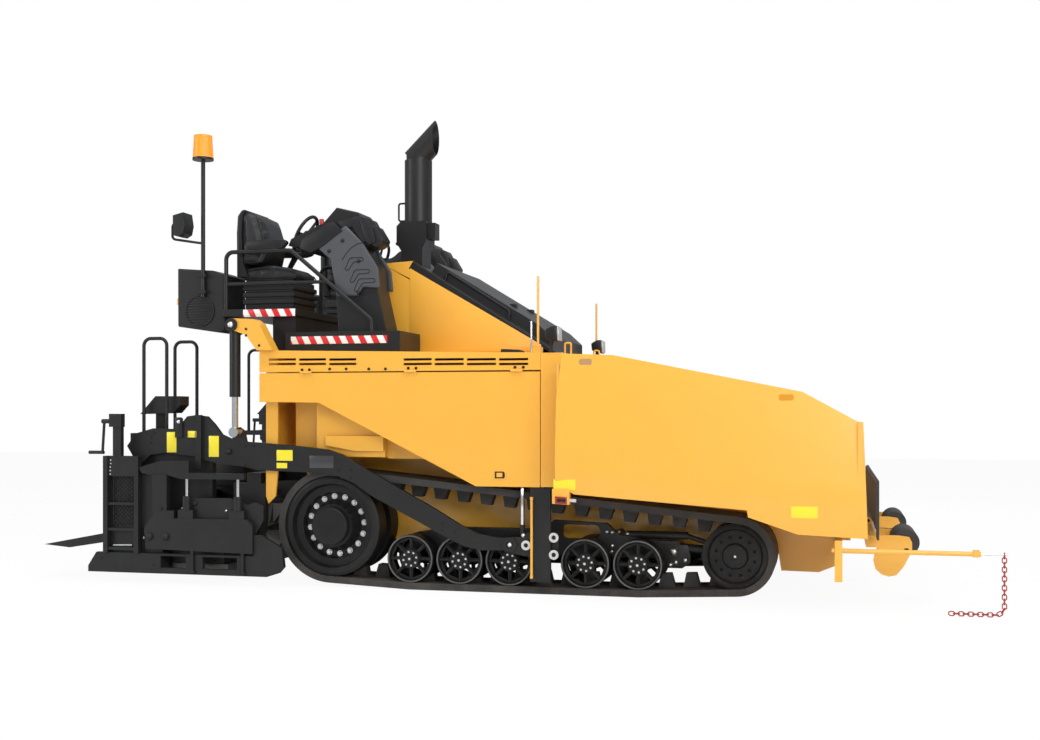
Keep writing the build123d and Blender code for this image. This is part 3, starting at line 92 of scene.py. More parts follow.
# Shader helpers: one call for a node, one table for its links
def addNode(tree, kind, inputs=None, operation=None):
    # operation: what a Math node does; every Mix node here mixes colours
    node = tree.nodes.new("ShaderNode" + kind)
    if kind == "Mix":
        node.data_type = "RGBA"
    if operation:
        node.operation = operation
    for socket, value in (inputs or {}).items():
        node.inputs[socket].default_value = value
    return node


def linkAll(tree, *rows):
    # rows: node, its output, next node, its input
    for source, output, target, entry in rows:
        tree.links.new(source.outputs[output], target.inputs[entry])


def eyeMask(tree):
    # 1 where the camera looks straight at the surface or through glass
    ray = addNode(tree, "LightPath")
    seen = addNode(tree, "Math", operation="MAXIMUM")
    linkAll(tree, (ray, "Is Camera Ray", seen, 0), (ray, "Is Transmission Ray", seen, 1))
    return seen


# Studio: pale floor, white surroundings for the eye, soft lamps
studioSet = {
    "floorSize": 60,
    "floorDrop": 0.001,
    "floorColour": (0.86, 0.86, 0.86, 1),
    "floorGlow": 0.94,
    "worldColour": (0.93, 0.96, 1.0, 1),
    "worldLight": 0.5,
    "lamps": (
        {"name": "overhead", "place": (0.5, -2.5, 8.5), "aim": (0, 0, 1), "size": (9, 5), "watts": 490},
        {"name": "cameraSide", "place": (5.5, -9.5, 4.5), "aim": (0.3, 0, 1.2), "size": (6, 4), "watts": 470},
        {"name": "rearSide", "place": (-8.5, -5.5, 4.0), "aim": (-1.5, 0, 1.3), "size": (4, 4), "watts": 220},
        {"name": "farSide", "place": (1.0, 9.5, 5.0), "aim": (0, 0, 1.3), "size": (7, 4), "watts": 260,
         "matt": True},
    ),
}


def addFloor():
    bpy.ops.mesh.primitive_plane_add(size=studioSet["floorSize"], location=(0, 0, -studioSet["floorDrop"]))
    floor = bpy.context.object
    floor.name = "studioFloor"
    paint = bpy.data.materials.new("studioFloor")
    paint.use_nodes = True
    tree = paint.node_tree
    tree.nodes.clear()
    out = addNode(tree, "OutputMaterial")
    matt = addNode(tree, "BsdfDiffuse", {"Color": studioSet["floorColour"]})
    glow = addNode(tree, "Emission")
    both = addNode(tree, "MixShader")
    share = addNode(tree, "Math", {1: studioSet["floorGlow"]}, "MULTIPLY")
    linkAll(tree, (eyeMask(tree), 0, share, 0), (share, 0, both, "Fac"), (matt, 0, both, 1),
            (glow, 0, both, 2), (both, 0, out, "Surface"))
    floor.data.materials.append(paint)


def addWorld():
    world = bpy.data.worlds.new("studio")
    bpy.context.scene.world = world
    world.use_nodes = True
    tree = world.node_tree
    tree.nodes.clear()
    out = addNode(tree, "OutputWorld")
    soft = addNode(tree, "Background", {"Color": studioSet["worldColour"],
                                        "Strength": studioSet["worldLight"]})
    white = addNode(tree, "Background", {"Color": (1, 1, 1, 1)})
    both = addNode(tree, "MixShader")
    linkAll(tree, (eyeMask(tree), 0, both, "Fac"), (soft, 0, both, 1), (white, 0, both, 2),
            (both, 0, out, "Surface"))


def addLamps():
    for lamp in studioSet["lamps"]:
        light = bpy.data.lights.new(lamp["name"], "AREA")
        light.shape = "RECTANGLE"
        light.size, light.size_y = lamp["size"]
        light.energy = lamp["watts"]
        holder = bpy.data.objects.new(lamp["name"], light)
        bpy.context.scene.collection.objects.link(holder)
        holder.location = lamp["place"]
        holder.visible_glossy = not lamp.get("matt", False)
        towards = Vector(lamp["aim"]) - Vector(lamp["place"])
        holder.rotation_euler = towards.to_track_quat("-Z", "Y").to_euler()


addFloor()
addWorld()
addLamps()
bpy.context.scene.view_settings.view_transform = "Standard"
print("studio and camera placed")


# Shared surface effects, as node groups with named inputs and outputs
def newGroup(name, inputs, outputs):
    group = bpy.data.node_groups.new(name, "ShaderNodeTree")
    for label, kind, value in inputs:
        socket = group.interface.new_socket(label, in_out="INPUT", socket_type="NodeSocket" + kind)
        socket.default_value = value
    for label, kind in outputs:
        group.interface.new_socket(label, in_out="OUTPUT", socket_type="NodeSocket" + kind)
    return group, group.nodes.new("NodeGroupInput"), group.nodes.new("NodeGroupOutput")


def makeDustGroup():
    # dust that thins with height and in patches, and lies more on faces that look up
    tree, entry, leave = newGroup(
        "settledDust",
        (("Colour", "Color", (0.5, 0.5, 0.5, 1)), ("Dust Colour", "Color", (0.4, 0.36, 0.3, 1)),
         ("Amount", "Float", 0.2), ("Low Height", "Float", 0.1), ("High Height", "Float", 1.2),
         ("Patch Size", "Float", 6.0)),
        (("Colour", "Color"), ("Mask", "Float")),
    )
    place = addNode(tree, "TexCoord")
    cut = addNode(tree, "SeparateXYZ")
    height = addNode(tree, "MapRange", {"To Min": 1.0, "To Max": 0.15})
    cloud = addNode(tree, "TexNoise", {"Detail": 6, "Roughness": 0.65})
    patches = addNode(tree, "MapRange", {"From Min": 0.35, "From Max": 0.75})
    normal = addNode(tree, "NewGeometry")
    up = addNode(tree, "SeparateXYZ")
    facing = addNode(tree, "MapRange", {"From Min": -0.2, "To Min": 0.45})
    first, second, third = [addNode(tree, "Math", operation="MULTIPLY") for step in range(3)]
    third.use_clamp = True
    blend = addNode(tree, "Mix")
    linkAll(
        tree,
        (place, "Object", cut, 0), (place, "Object", cloud, "Vector"), (entry, "Patch Size", cloud, "Scale"),
        (cut, "Z", height, "Value"), (entry, "Low Height", height, "From Min"),
        (entry, "High Height", height, "From Max"), (cloud, "Fac", patches, "Value"),
        (normal, "Normal", up, 0), (up, "Z", facing, "Value"), (height, 0, first, 0), (patches, 0, first, 1),
        (first, 0, second, 0), (facing, 0, second, 1), (second, 0, third, 0), (entry, "Amount", third, 1),
        (third, 0, blend, "Factor"), (entry, "Colour", blend, "A"), (entry, "Dust Colour", blend, "B"),
        (blend, "Result", leave, "Colour"), (third, 0, leave, "Mask"),
    )
    return tree


def makeGrainGroup():
    # fine bump, and a broad cloud that varies roughness and tone
    tree, entry, leave = newGroup(
        "surfaceGrain",
        (("Scale", "Float", 400.0), ("Depth", "Float", 0.1), ("Roughness", "Float", 0.4),
         ("Variation", "Float", 0.1)),
        (("Roughness", "Float"), ("Normal", "Vector"), ("Cloud", "Float")),
    )
    place = addNode(tree, "TexCoord")
    fine = addNode(tree, "TexNoise", {"Detail": 2})
    broad = addNode(tree, "TexNoise", {"Scale": 5, "Detail": 4})
    bump = addNode(tree, "Bump", {"Distance": 0.0004})
    off = addNode(tree, "Math", {1: 0.5}, "SUBTRACT")
    scaled = addNode(tree, "Math", operation="MULTIPLY_ADD")
    linkAll(
        tree,
        (place, "Object", fine, "Vector"), (place, "Object", broad, "Vector"),
        (entry, "Scale", fine, "Scale"), (fine, "Fac", bump, "Height"), (entry, "Depth", bump, "Strength"),
        (broad, "Fac", off, 0),
        (off, 0, scaled, 0), (entry, "Variation", scaled, 1), (entry, "Roughness", scaled, 2),
        (scaled, 0, leave, "Roughness"), (bump, 0, leave, "Normal"), (broad, "Fac", leave, "Cloud"),
    )
    return tree


dustGroup = makeDustGroup()
grainGroup = makeGrainGroup()


def useGroup(tree, group, inputs):
    node = addNode(tree, "Group")
    node.node_tree = group
    for socket, value in inputs.items():
        node.inputs[socket].default_value = value
    return node


def newMaterial(name):
    material = bpy.data.materials.new(name)
    material.use_nodes = True
    return material, material.node_tree, material.node_tree.nodes["Principled BSDF"]


# Finishes: the columns' names, a row for each finish, then what only some of them have
finishColumns = ("slot", "colour", "second", "rough", "vary", "grain", "depth", "coat", "dust", "dustColour")
finishRows = {
    "yellowPaint": ("yellow_paint", (0.85, 0.43, 0.045), (0.80, 0.395, 0.04),
                    0.34, 0.08, 260, 0.05, 0.35, 0.10, (0.62, 0.47, 0.27)),
    "blackPaint": ("black_paint", (0.010, 0.010, 0.0105), (0.015, 0.015, 0.0155),
                   0.42, 0.16, 420, 0.10, 0.04, 0.08, (0.16, 0.14, 0.12)),
    # wheel black: darker and duller than the black paint, painted shade so the spokes read like the dark
    # openings between them
    "wheelBlackPaintedShade": ("black_paint", (0.006, 0.006, 0.0065), (0.012, 0.012, 0.012),
                   0.46, 0.2, 300, 0.12, 0.0, 0.10, (0.20, 0.175, 0.14)),
    "beltRubber": ("belt_rubber", (0.018, 0.018, 0.018), (0.035, 0.032, 0.03),
                   0.72, 0.15, 220, 0.30, 0.0, 0.45, (0.22, 0.18, 0.14)),
    "wornSteel": ("steel", (0.30, 0.29, 0.28), (0.20, 0.18, 0.16),
                  0.42, 0.25, 500, 0.15, 0.0, 0.25, (0.16, 0.13, 0.10)),
    "chrome": ("chrome_rod", (0.78, 0.79, 0.80), (0.70, 0.71, 0.72),
               0.12, 0.05, 900, 0.02, 0.0, 0.04, (0.3, 0.27, 0.24)),
    "zincBolt": ("steel", (0.80, 0.80, 0.79), (0.66, 0.65, 0.64),
                 0.38, 0.15, 700, 0.06, 0.0, 0.12, (0.25, 0.21, 0.17)),
    "castIron": ("engine_grey", (0.05, 0.05, 0.052), (0.035, 0.035, 0.036),
                 0.6, 0.15, 180, 0.45, 0.0, 0.2, (0.2, 0.17, 0.13)),
    "seatVinyl": ("seat_cover", (0.012, 0.012, 0.013), (0.02, 0.02, 0.021),
                  0.5, 0.08, 650, 0.5, 0.03, 0.04, (0.2, 0.18, 0.16)),
    "greyMoulding": ("grey_plastic", (0.062, 0.066, 0.072), (0.052, 0.056, 0.062),
                     0.48, 0.08, 800, 0.3, 0.0, 0.05, (0.3, 0.27, 0.24)),
    "redPaint": ("red_links", (0.42, 0.02, 0.015), (0.30, 0.02, 0.015),
                 0.4, 0.15, 500, 0.1, 0.1, 0.15, (0.2, 0.15, 0.12)),
    "labelYellow": ("yellow_paint", (0.86, 0.72, 0.02), (0.80, 0.66, 0.02),
                    0.38, 0.1, 600, 0.05, 0.2, 0.08, (0.4, 0.34, 0.22)),
    "labelDark": ("black_paint", (0.03, 0.03, 0.032), (0.04, 0.04, 0.042),
                  0.3, 0.1, 600, 0.05, 0.3, 0.05, (0.3, 0.26, 0.2)),
    "greyPaint": ("steel", (0.60, 0.60, 0.59), (0.50, 0.50, 0.49),
                  0.4, 0.12, 500, 0.08, 0.1, 0.12, (0.3, 0.26, 0.2)),
    "wornRim": ("steel", (0.16, 0.16, 0.155), (0.05, 0.05, 0.05),
                0.38, 0.3, 300, 0.2, 0.0, 0.15, (0.24, 0.21, 0.17)),
    "lampGlass": ("grey_plastic", (0.55, 0.57, 0.60), (0.45, 0.47, 0.50),
                  0.12, 0.05, 60, 0.5, 1.0, 0.03, (0.3, 0.27, 0.22)),
    "screenGlass": ("black_plastic", (0.008, 0.010, 0.012), (0.012, 0.014, 0.016),
                    0.1, 0.05, 60, 0.05, 1.0, 0.03, (0.3, 0.27, 0.22)),
    "blackMoulding": ("black_plastic", (0.01, 0.01, 0.011), (0.015, 0.015, 0.016),
                      0.44, 0.1, 900, 0.35, 0.0, 0.05, (0.2, 0.18, 0.16)),
}
metalOf = {"wornSteel": 1.0, "chrome": 1.0, "zincBolt": 1.0, "wornRim": 0.4}
shineOf = {"blackPaint": 0.3, "wheelBlackPaintedShade": 0.25, "seatVinyl": 0.35, "blackMoulding": 0.28}
coatRoughness = 0.12


def makeFinish(name):
    values = dict(zip(finishColumns, finishRows[name]))
    material, tree, shader = newMaterial(name)
    grain = useGroup(tree, grainGroup, {"Scale": values["grain"], "Depth": values["depth"],
                                        "Roughness": values["rough"], "Variation": values["vary"]})
    tone = addNode(tree, "Mix", {"A": (*values["colour"], 1), "B": (*values["second"], 1)})
    dust = useGroup(tree, dustGroup, {"Dust Colour": (*values["dustColour"], 1), "Amount": values["dust"]})
    linkAll(tree, (grain, "Cloud", tone, "Factor"), (tone, "Result", dust, "Colour"),
            (dust, "Colour", shader, "Base Color"), (grain, "Roughness", shader, "Roughness"),
            (grain, "Normal", shader, "Normal"))
    shader.inputs["Metallic"].default_value = metalOf.get(name, 0.0)
    shader.inputs["Specular IOR Level"].default_value = shineOf.get(name, 0.5)
    shader.inputs["Coat Weight"].default_value = values["coat"]
    shader.inputs["Coat Roughness"].default_value = coatRoughness
    return material


finishes = {name: makeFinish(name) for name in finishRows}
slotOf = {name: row[0] for name, row in finishRows.items()}


# Beacon and side lamps: ribbed amber that glows a little
def makeAmber():
    material, tree, shader = newMaterial("amberLens")
    place = addNode(tree, "TexCoord")
    ribs = addNode(tree, "TexWave", {"Scale": 40})
    ribs.bands_direction = "Z"
    bump = addNode(tree, "Bump", {"Strength": 0.5, "Distance": 0.002})
    warm = addNode(tree, "Mix", {"A": (0.95, 0.20, 0.005, 1), "B": (1.0, 0.33, 0.02, 1)})
    linkAll(tree, (place, "Object", ribs, "Vector"), (ribs, "Fac", bump, "Height"),
            (ribs, "Fac", warm, "Factor"), (warm, "Result", shader, "Base Color"),
            (bump, 0, shader, "Normal"))
    shader.inputs["Roughness"].default_value = 0.15
    shader.inputs["Emission Color"].default_value = (1.0, 0.3, 0.01, 1)
    shader.inputs["Emission Strength"].default_value = 0.25
    return material


finishes["amberLens"] = makeAmber()
slotOf["amberLens"] = "amber_lens"

# Carried-over nodes: the finish that belongs to a node's slot, but the wheels get a darker black of their
# own, painted shade that makes their spokes read like the dark openings between them
nodeFinish = {"yellow_paint": "yellowPaint", "black_paint": "blackPaint", "belt_rubber": "beltRubber",
              "steel": "wornSteel", "chrome_rod": "chrome", "engine_grey": "castIron",
              "seat_cover": "seatVinyl", "grey_plastic": "greyMoulding", "black_plastic": "blackMoulding",
              "red_links": "redPaint", "amber_lens": "amberLens"}
wheelNodes = ("drive_wheels", "idlers", "bogie_wheels")


def sidesOf(name):
    # the node itself, or its right and left twins
    return (name,) if name in cadNodes else (name + "_right", name + "_left")


def paintNodes():
    for row in frame["record"]["subparts"]:
        name = row["node"]
        finish = "wheelBlackPaintedShade" if name in wheelNodes else nodeFinish[row["material_slot"]]
        for slot in cadNodes[name].material_slots:
            slot.material = finishes[finish]


paintNodes()
print("finishes made:", len(finishes))


# Modelling helpers: every shape starts from a primitive and is worked in edit mode
inwards, outwards = (0, 1, 0), (0, -1, 0)
sideStart, topStart = -3.0, 4.0


def deselectAll():
    if bpy.context.mode != "OBJECT":
        bpy.ops.object.mode_set(mode="OBJECT")
    bpy.ops.object.select_all(action="DESELECT")


def takeUp(piece):
    deselectAll()
    piece.select_set(True)
    bpy.context.view_layer.objects.active = piece


def settle(piece):
    takeUp(piece)
    bpy.ops.object.transform_apply(location=True, rotation=True, scale=True)


def editAll():
    bpy.ops.object.mode_set(mode="EDIT")
    bpy.ops.mesh.select_all(action="SELECT")


def editDone():
    bpy.ops.object.mode_set(mode="OBJECT")
    return bpy.context.object


def standOn(place, facing):
    # the local Z of what stands here looks along facing
    return Matrix.Translation(place) @ Vector(facing).to_track_quat("Z", "Y").to_matrix().to_4x4()


def finishPiece(piece, name, finish, body="tractor", smooth=30):
    settle(piece)
    bpy.ops.object.shade_smooth_by_angle(angle=math.radians(smooth))
    piece.name = name
    piece.data.materials.clear()
    piece.data.materials.append(finishes[finish])
    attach(piece, body)
    return piece


def otherSide(piece):
    # a mirrored copy across the machine's middle, turned right side out again
    settle(piece)
    bpy.ops.object.duplicate()
    twin = bpy.context.object
    twin.scale = (1, -1, 1)
    bpy.ops.object.transform_apply(location=True, rotation=True, scale=True)
    editAll()
    bpy.ops.mesh.flip_normals()
    return editDone()


def sidePiece(piece, name, finish, body="tractor"):
    # the piece and its mirrored twin, on the body and its twin
    finishPiece(otherSide(piece), name + "Far", finish, body.replace("right", "left"))
    return finishPiece(piece, name, finish, body)


def joinPieces(pieces):
    deselectAll()
    for piece in pieces:
        piece.select_set(True)
    bpy.context.view_layer.objects.active = pieces[0]
    bpy.ops.object.transform_apply(location=True, rotation=True, scale=True)
    bpy.ops.object.join()
    return bpy.context.object


def roundEdges(piece, width, segments=2):
    settle(piece)
    editAll()
    bpy.ops.mesh.bevel(offset=width, segments=segments, affect="EDGES")
    return editDone()


def addBlock(low, high, edge=0.003):
    bpy.ops.mesh.primitive_cube_add(size=1, location=[(a + b) / 2 for a, b in zip(low, high)])
    piece = bpy.context.object
    piece.scale = [b - a for a, b in zip(low, high)]
    return roundEdges(piece, edge)


def addBar(start, end, radius, sides=20, edge=0.002):
    start, end = Vector(start), Vector(end)
    along = end - start
    bpy.ops.mesh.primitive_cylinder_add(vertices=sides, radius=radius, depth=along.length)
    piece = bpy.context.object
    for face in piece.data.polygons:
        face.select = abs(face.normal.z) > 0.99
    bpy.context.tool_settings.mesh_select_mode = (False, False, True)
    bpy.ops.object.mode_set(mode="EDIT")
    bpy.ops.mesh.bevel(offset=edge, segments=2, affect="EDGES")
    editDone()
    piece.matrix_world = standOn((start + end) / 2, along)
    return piece


def addPlate(outline, side, depth, edge=0.002):
    # outline of (x, z) points facing the machine's side at Y = side, extruded inwards by depth
    bpy.ops.mesh.primitive_circle_add(vertices=len(outline), radius=1, fill_type="NGON")
    for vertex, (x, z) in zip(bpy.context.object.data.vertices, outline):
        vertex.co = (x, side, z)
    editAll()
    bpy.ops.mesh.extrude_region_move(TRANSFORM_OT_translate={"value": (0, depth, 0)})
    bpy.ops.mesh.select_all(action="SELECT")
    bpy.ops.mesh.normals_make_consistent(inside=False)
    if edge:
        bpy.ops.mesh.bevel(offset=edge, segments=2, affect="EDGES")
    return editDone()


def boxOutline(x0, x1, z0, z1):
    return ((x0, z0), (x1, z0), (x1, z1), (x0, z1))


def addPipe(points, radius, bend=0.05, steps=6, sides=6):
    # rigid tube: straight runs with smooth bends at the corners
    deselectAll()
    bpy.ops.curve.primitive_nurbs_path_add()
    line = bpy.context.object.data
    line.splines.clear()
    points = [Vector(point) for point in points]
    run = [points[0]]
    for before, corner, after in zip(points, points[1:], points[2:]):
        first = corner - (corner - before).normalized() * bend
        last = corner + (after - corner).normalized() * bend
        for step in range(steps + 1):
            share = step / steps
            run.append(first.lerp(corner, share).lerp(corner.lerp(last, share), share))
    run.append(points[-1])
    spline = line.splines.new("POLY")
    spline.points.add(len(run) - 1)
    for place, point in zip(spline.points, run):
        place.co = (*point, 1)
    line.bevel_depth = radius
    line.bevel_resolution = sides - 2
    line.use_fill_caps = True
    bpy.ops.object.convert(target="MESH")
    return bpy.context.object


def addRing(place, outer, inner, depth, edge=0.001, sides=48):
    # flat ring standing on place, its outer face depth further out
    bpy.ops.mesh.primitive_circle_add(vertices=sides, radius=outer, fill_type="NGON")
    piece = bpy.context.object
    bpy.context.tool_settings.mesh_select_mode = (False, False, True)
    editAll()
    if inner:
        bpy.ops.mesh.inset(thickness=outer - inner)
        bpy.ops.mesh.delete(type="FACE")
        bpy.ops.mesh.select_all(action="SELECT")
    bpy.ops.mesh.extrude_region_move(TRANSFORM_OT_translate={"value": (0, 0, depth)})
    bpy.ops.mesh.select_all(action="SELECT")
    bpy.ops.mesh.normals_make_consistent(inside=False)
    shape = bmesh.from_edit_mesh(piece.data)
    for line in shape.edges:
        line.select = line.is_manifold and line.calc_face_angle(0) > 1.0
    bmesh.update_edit_mesh(piece.data)
    bpy.context.tool_settings.mesh_select_mode = (False, True, False)
    bpy.ops.mesh.bevel(offset=edge, segments=1, affect="EDGES")
    editDone()
    piece.matrix_world = standOn(place, outwards)
    return piece


def addBead(place, radius, thick, facing=outwards):
    # rounded wire ring, pressed a little flat
    bpy.ops.mesh.primitive_torus_add(major_radius=radius, minor_radius=thick, major_segments=64,
                                     minor_segments=10)
    editAll()
    bpy.ops.transform.resize(value=(1, 1, 0.7))
    piece = editDone()
    piece.matrix_world = standOn(place, facing)
    return piece


# Two heads, one unit wide and looking along Z, that are spread over the machine and then removed
def addBolt():
    # hexagon head on a washer
    bpy.ops.mesh.primitive_cylinder_add(vertices=6, radius=0.5, depth=0.36, location=(0, 0, 0.26))
    head = roundEdges(bpy.context.object, 0.04, 1)
    bpy.ops.mesh.primitive_cylinder_add(vertices=20, radius=0.66, depth=0.09, location=(0, 0, 0.035))
    washer = roundEdges(bpy.context.object, 0.02, 1)
    return joinPieces([head, washer])


def addButton():
    # low domed head, as on rivets and stud caps
    bpy.ops.mesh.primitive_uv_sphere_add(segments=16, ring_count=8, radius=0.5)
    editAll()
    bpy.ops.mesh.bisect(plane_co=(0, 0, 0), plane_no=(0, 0, 1), use_fill=True, clear_inner=True)
    bpy.ops.transform.resize(value=(1, 1, 0.5))
    return editDone()


def spread(master, places):
    # places: (point, size); every head faces out from the near side
    copies = []
    for point, size in places:
        copy = master.copy()
        copy.data = master.data.copy()
        bpy.context.scene.collection.objects.link(copy)
        copy.matrix_world = standOn(point, outwards) @ Matrix.Scale(size, 4)
        copies.append(copy)
    return joinPieces(copies)


# Surfaces of the solids, to seat small pieces on what carries them
def surfaceOf(node):
    corners = [node.matrix_world @ corner.co for corner in node.data.vertices]
    return BVHTree.FromPolygons(corners, [face.vertices for face in node.data.polygons])


solidOf = {name: surfaceOf(node) for name, node in cadNodes.items()}


def hitFrom(start, towards, names=None):
    best = None
    for name in names or solidOf:
        place, normal, index, far = solidOf[name].ray_cast(Vector(start), Vector(towards))
        if place is not None and (best is None or far < best[2]):
            best = (name, place, far)
    return best[0], best[1]


def sideHit(x, z, *names):
    return hitFrom((x, sideStart, z), inwards, names)


def topHit(x, y, *names):
    return hitFrom((x, y, topStart), (0, 0, -1), names)[1]


def sideStuds(name, master, finish, rows):
    # rows: (x, z, size) on the first face met from the near side, one piece for each body
    groups = {}
    for x, z, size in rows:
        node, place = sideHit(x, z)
        groups.setdefault(bodyOf[node], []).append((place, size))
    for body, places in groups.items():
        near = spread(master, places)
        finishPiece(otherSide(near), name + "Far-" + body, finish, body.replace("right", "left"))
        finishPiece(near, name + "-" + body, finish, body)


boltMaster = addBolt()
buttonMaster = addButton()
print("helpers ready")


# Small radii on the solids' edges, on copies that stand for the nodes
softenSet = {
    "upper_body": 0.004, "hopper_wing": 0.005, "engine_hood": 0.008, "service_door": 0.004,
    "hopper_wall": 0.003, "main_frame": 0.003, "lift_brackets": 0.004, "tow_arms": 0.004,
    "tow_guides": 0.002, "tow_slides": 0.002, "side_tanks": 0.006, "operator_deck": 0.005,
    "rear_cabinets": 0.01, "hood_cover": 0.008,
    "screed_frame": 0.004, "extender": 0.004, "end_gate": 0.003, "walkway": 0.003, "screed_plate": 0.003,
    "push_beam": 0.004, "auger_frame": 0.004, "track_frames": 0.004, "engine_block": 0.02, "consoles": 0.015,
    "seat_bases": 0.006, "front_apron": 0.002, "exhaust_stack": 0.003, "guide_post": 0.003,
    "beacon_mast": 0.002, "console_heads": 0.008, "push_roller": 0.004,
}
# gap under which corners weld, then angles: flat joints, edges to round, edges to shade sharp
softenAngles = {"weld": 0.00002, "flat": 0.8, "edge": 32, "smooth": 28}


def copyNode(name):
    # a free copy of a carried-over node, without the marks that make it one, in edit mode
    piece = cadNodes[name].copy()
    piece.data = cadNodes[name].data.copy()
    piece.parent = None
    bpy.context.scene.collection.objects.link(piece)
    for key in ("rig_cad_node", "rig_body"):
        if key in piece:
            del piece[key]
    takeUp(piece)
    editAll()
    bpy.ops.mesh.remove_doubles(threshold=softenAngles["weld"])
    return piece


def softenNode(name, width):
    piece = copyNode(name)
    piece.name = name + "-softened"
    bpy.ops.mesh.dissolve_limited(angle_limit=math.radians(softenAngles["flat"]))
    editDone()
    bevel = piece.modifiers.new("edges", "BEVEL")
    bevel.width = width
    bevel.segments = 2
    bevel.limit_method = "ANGLE"
    bevel.angle_limit = math.radians(softenAngles["edge"])
    bevel.use_clamp_overlap = True
    bevel.harden_normals = False
    bpy.ops.object.modifier_apply(modifier="edges")
    bpy.ops.object.shade_smooth_by_angle(angle=math.radians(softenAngles["smooth"]))
    even = piece.modifiers.new("even", "WEIGHTED_NORMAL")
    even.keep_sharp = True
    bpy.ops.object.modifier_apply(modifier="even")
    piece.select_set(False)
    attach(piece, bodyOf[name])
    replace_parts(piece, name)


for pairName, edgeWidth in softenSet.items():
    for nodeName in sidesOf(pairName):
        softenNode(nodeName, edgeWidth)
print("edges softened")


# Running gear: wheel bolts, thin ribs, bead rings and hub caps
gearSet = {
    "bogieX": (-0.550, -0.155, 0.235, 0.818, 1.212),
    "bogieZ": 0.235,
    "bogieFace": -1.201,
    "flange": 0.072,
    "cap": 0.026,
    "boltCircle": (0.053, 8, 0.2),
    "boltSize": 0.0125,
    "capBolt": 0.015,
    "ribs": 8,
    "firstRib": math.pi / 2,
    "ribReach": (0.060, 0.158),
    "ribRadius": 0.0045,
    "bead": (0.1755, 0.0062),
    "drive": (-1.190, 0.475),
    "driveFace": -1.095,
    "driveCircle": (0.227, 16, 0.1),
    "driveSize": 0.036,
    "hubFace": -1.150,
    "hubDepth": 0.110,
    "hubRadius": 0.145,
    "idler": (1.922, 0.318),
    "idlerFace": -1.207,
    "idlerRing": (0.082, 0.030, 0.007),
    "idlerCircle": (0.070, 8),
    "idlerHole": 0.006,
    "idlerBolt": 0.020,
}


def circlePlaces(x, z, radius, count, first=0.0):
    turns = [first + 2 * math.pi * step / count for step in range(count)]
    return [(x + radius * math.cos(turn), z + radius * math.sin(turn)) for turn in turns]


def dressWheels():
    bolts, rings, ribs, beads = [], [], [], []
    z, face = gearSet["bogieZ"], gearSet["bogieFace"]
    near, far = gearSet["ribReach"]
    for x in gearSet["bogieX"]:
        rings.append(addRing((x, face + 0.002, z), gearSet["flange"], 0, 0.006))
        rings.append(addRing((x, face - 0.004, z), gearSet["cap"], 0, 0.012))
        for px, pz in circlePlaces(x, z, *gearSet["boltCircle"]):
            bolts.append(((px, face - 0.004, pz), gearSet["boltSize"]))
        bolts.append(((x, face - 0.016, z), gearSet["capBolt"]))
        middle = Vector((x, face + 0.008, z))
        for step in range(gearSet["ribs"]):
            turn = 2 * math.pi * step / gearSet["ribs"] + gearSet["firstRib"]
            along = Vector((math.cos(turn), 0, math.sin(turn)))
            ribs.append(addBar(middle + along * near, middle + along * far, gearSet["ribRadius"], 8, 0.001))
        beads.append(addBead((x, face, z), *gearSet["bead"]))
    x, z = gearSet["drive"]
    for px, pz in circlePlaces(x, z, *gearSet["driveCircle"]):
        bolts.append(((px, gearSet["driveFace"], pz), gearSet["driveSize"]))
    hub = addRing((x, gearSet["hubFace"], z), gearSet["hubRadius"], 0, gearSet["hubDepth"], 0.006)
    sidePiece(hub, "driveHubs", "wheelBlackPaintedShade")
    x, z = gearSet["idler"]
    face = gearSet["idlerFace"]
    rings.append(addRing((x, face + 0.001, z), *gearSet["idlerRing"]))
    for px, pz in circlePlaces(x, z, *gearSet["idlerCircle"]):
        rings.append(addRing((px, face - 0.006, pz), gearSet["idlerHole"], 0, 0.004, sides=12))
    bolts.append(((x, face + 0.002, z), gearSet["idlerBolt"]))
    sidePiece(spread(boltMaster, bolts), "wheelBolts", "zincBolt")
    sidePiece(joinPieces(rings), "wheelFlanges", "wheelBlackPaintedShade")
    sidePiece(joinPieces(ribs), "wheelRibs", "blackPaint")
    sidePiece(joinPieces(beads), "wheelBeads", "wornRim")


dressWheels()
print("wheels dressed")


# Track beam and tow point: zinc pins, dark and pale rings, small plates
trackSet = {
    # x, z, size
    "pins": ((0.952, 0.458, 0.030), (0.994, 0.456, 0.030), (1.034, 0.454, 0.030), (1.111, 0.447, 0.030),
             (0.994, 0.355, 0.038), (0.991, 0.310, 0.032), (0.372, 0.445, 0.036), (0.268, 0.371, 0.040)),
    "plate": ((1.380, 0.200), (1.520, 0.200), (1.580, 0.240), (1.580, 0.300), (1.560, 0.375), (1.380, 0.375)),
    "plateSide": -1.0245,
    "plateDepth": 0.024,
    "platePins": ((1.460, 0.324, 0.064), (1.433, 0.224, 0.038), (1.473, 0.244, 0.038), (1.545, 0.262, 0.042)),
    # x, z, outer and inner radius, finish
    "rings": ((0.610, 0.436, 0.036, 0.017, "greyPaint"), (0.610, 0.309, 0.036, 0.017, "greyPaint"),
              (0.399, 0.374, 0.036, 0.017, "greyPaint"), (0.994, 0.355, 0.037, 0.024, "blackPaint"),
              (0.268, 0.371, 0.055, 0.030, "blackPaint")),
    "ringDepth": 0.010,
}


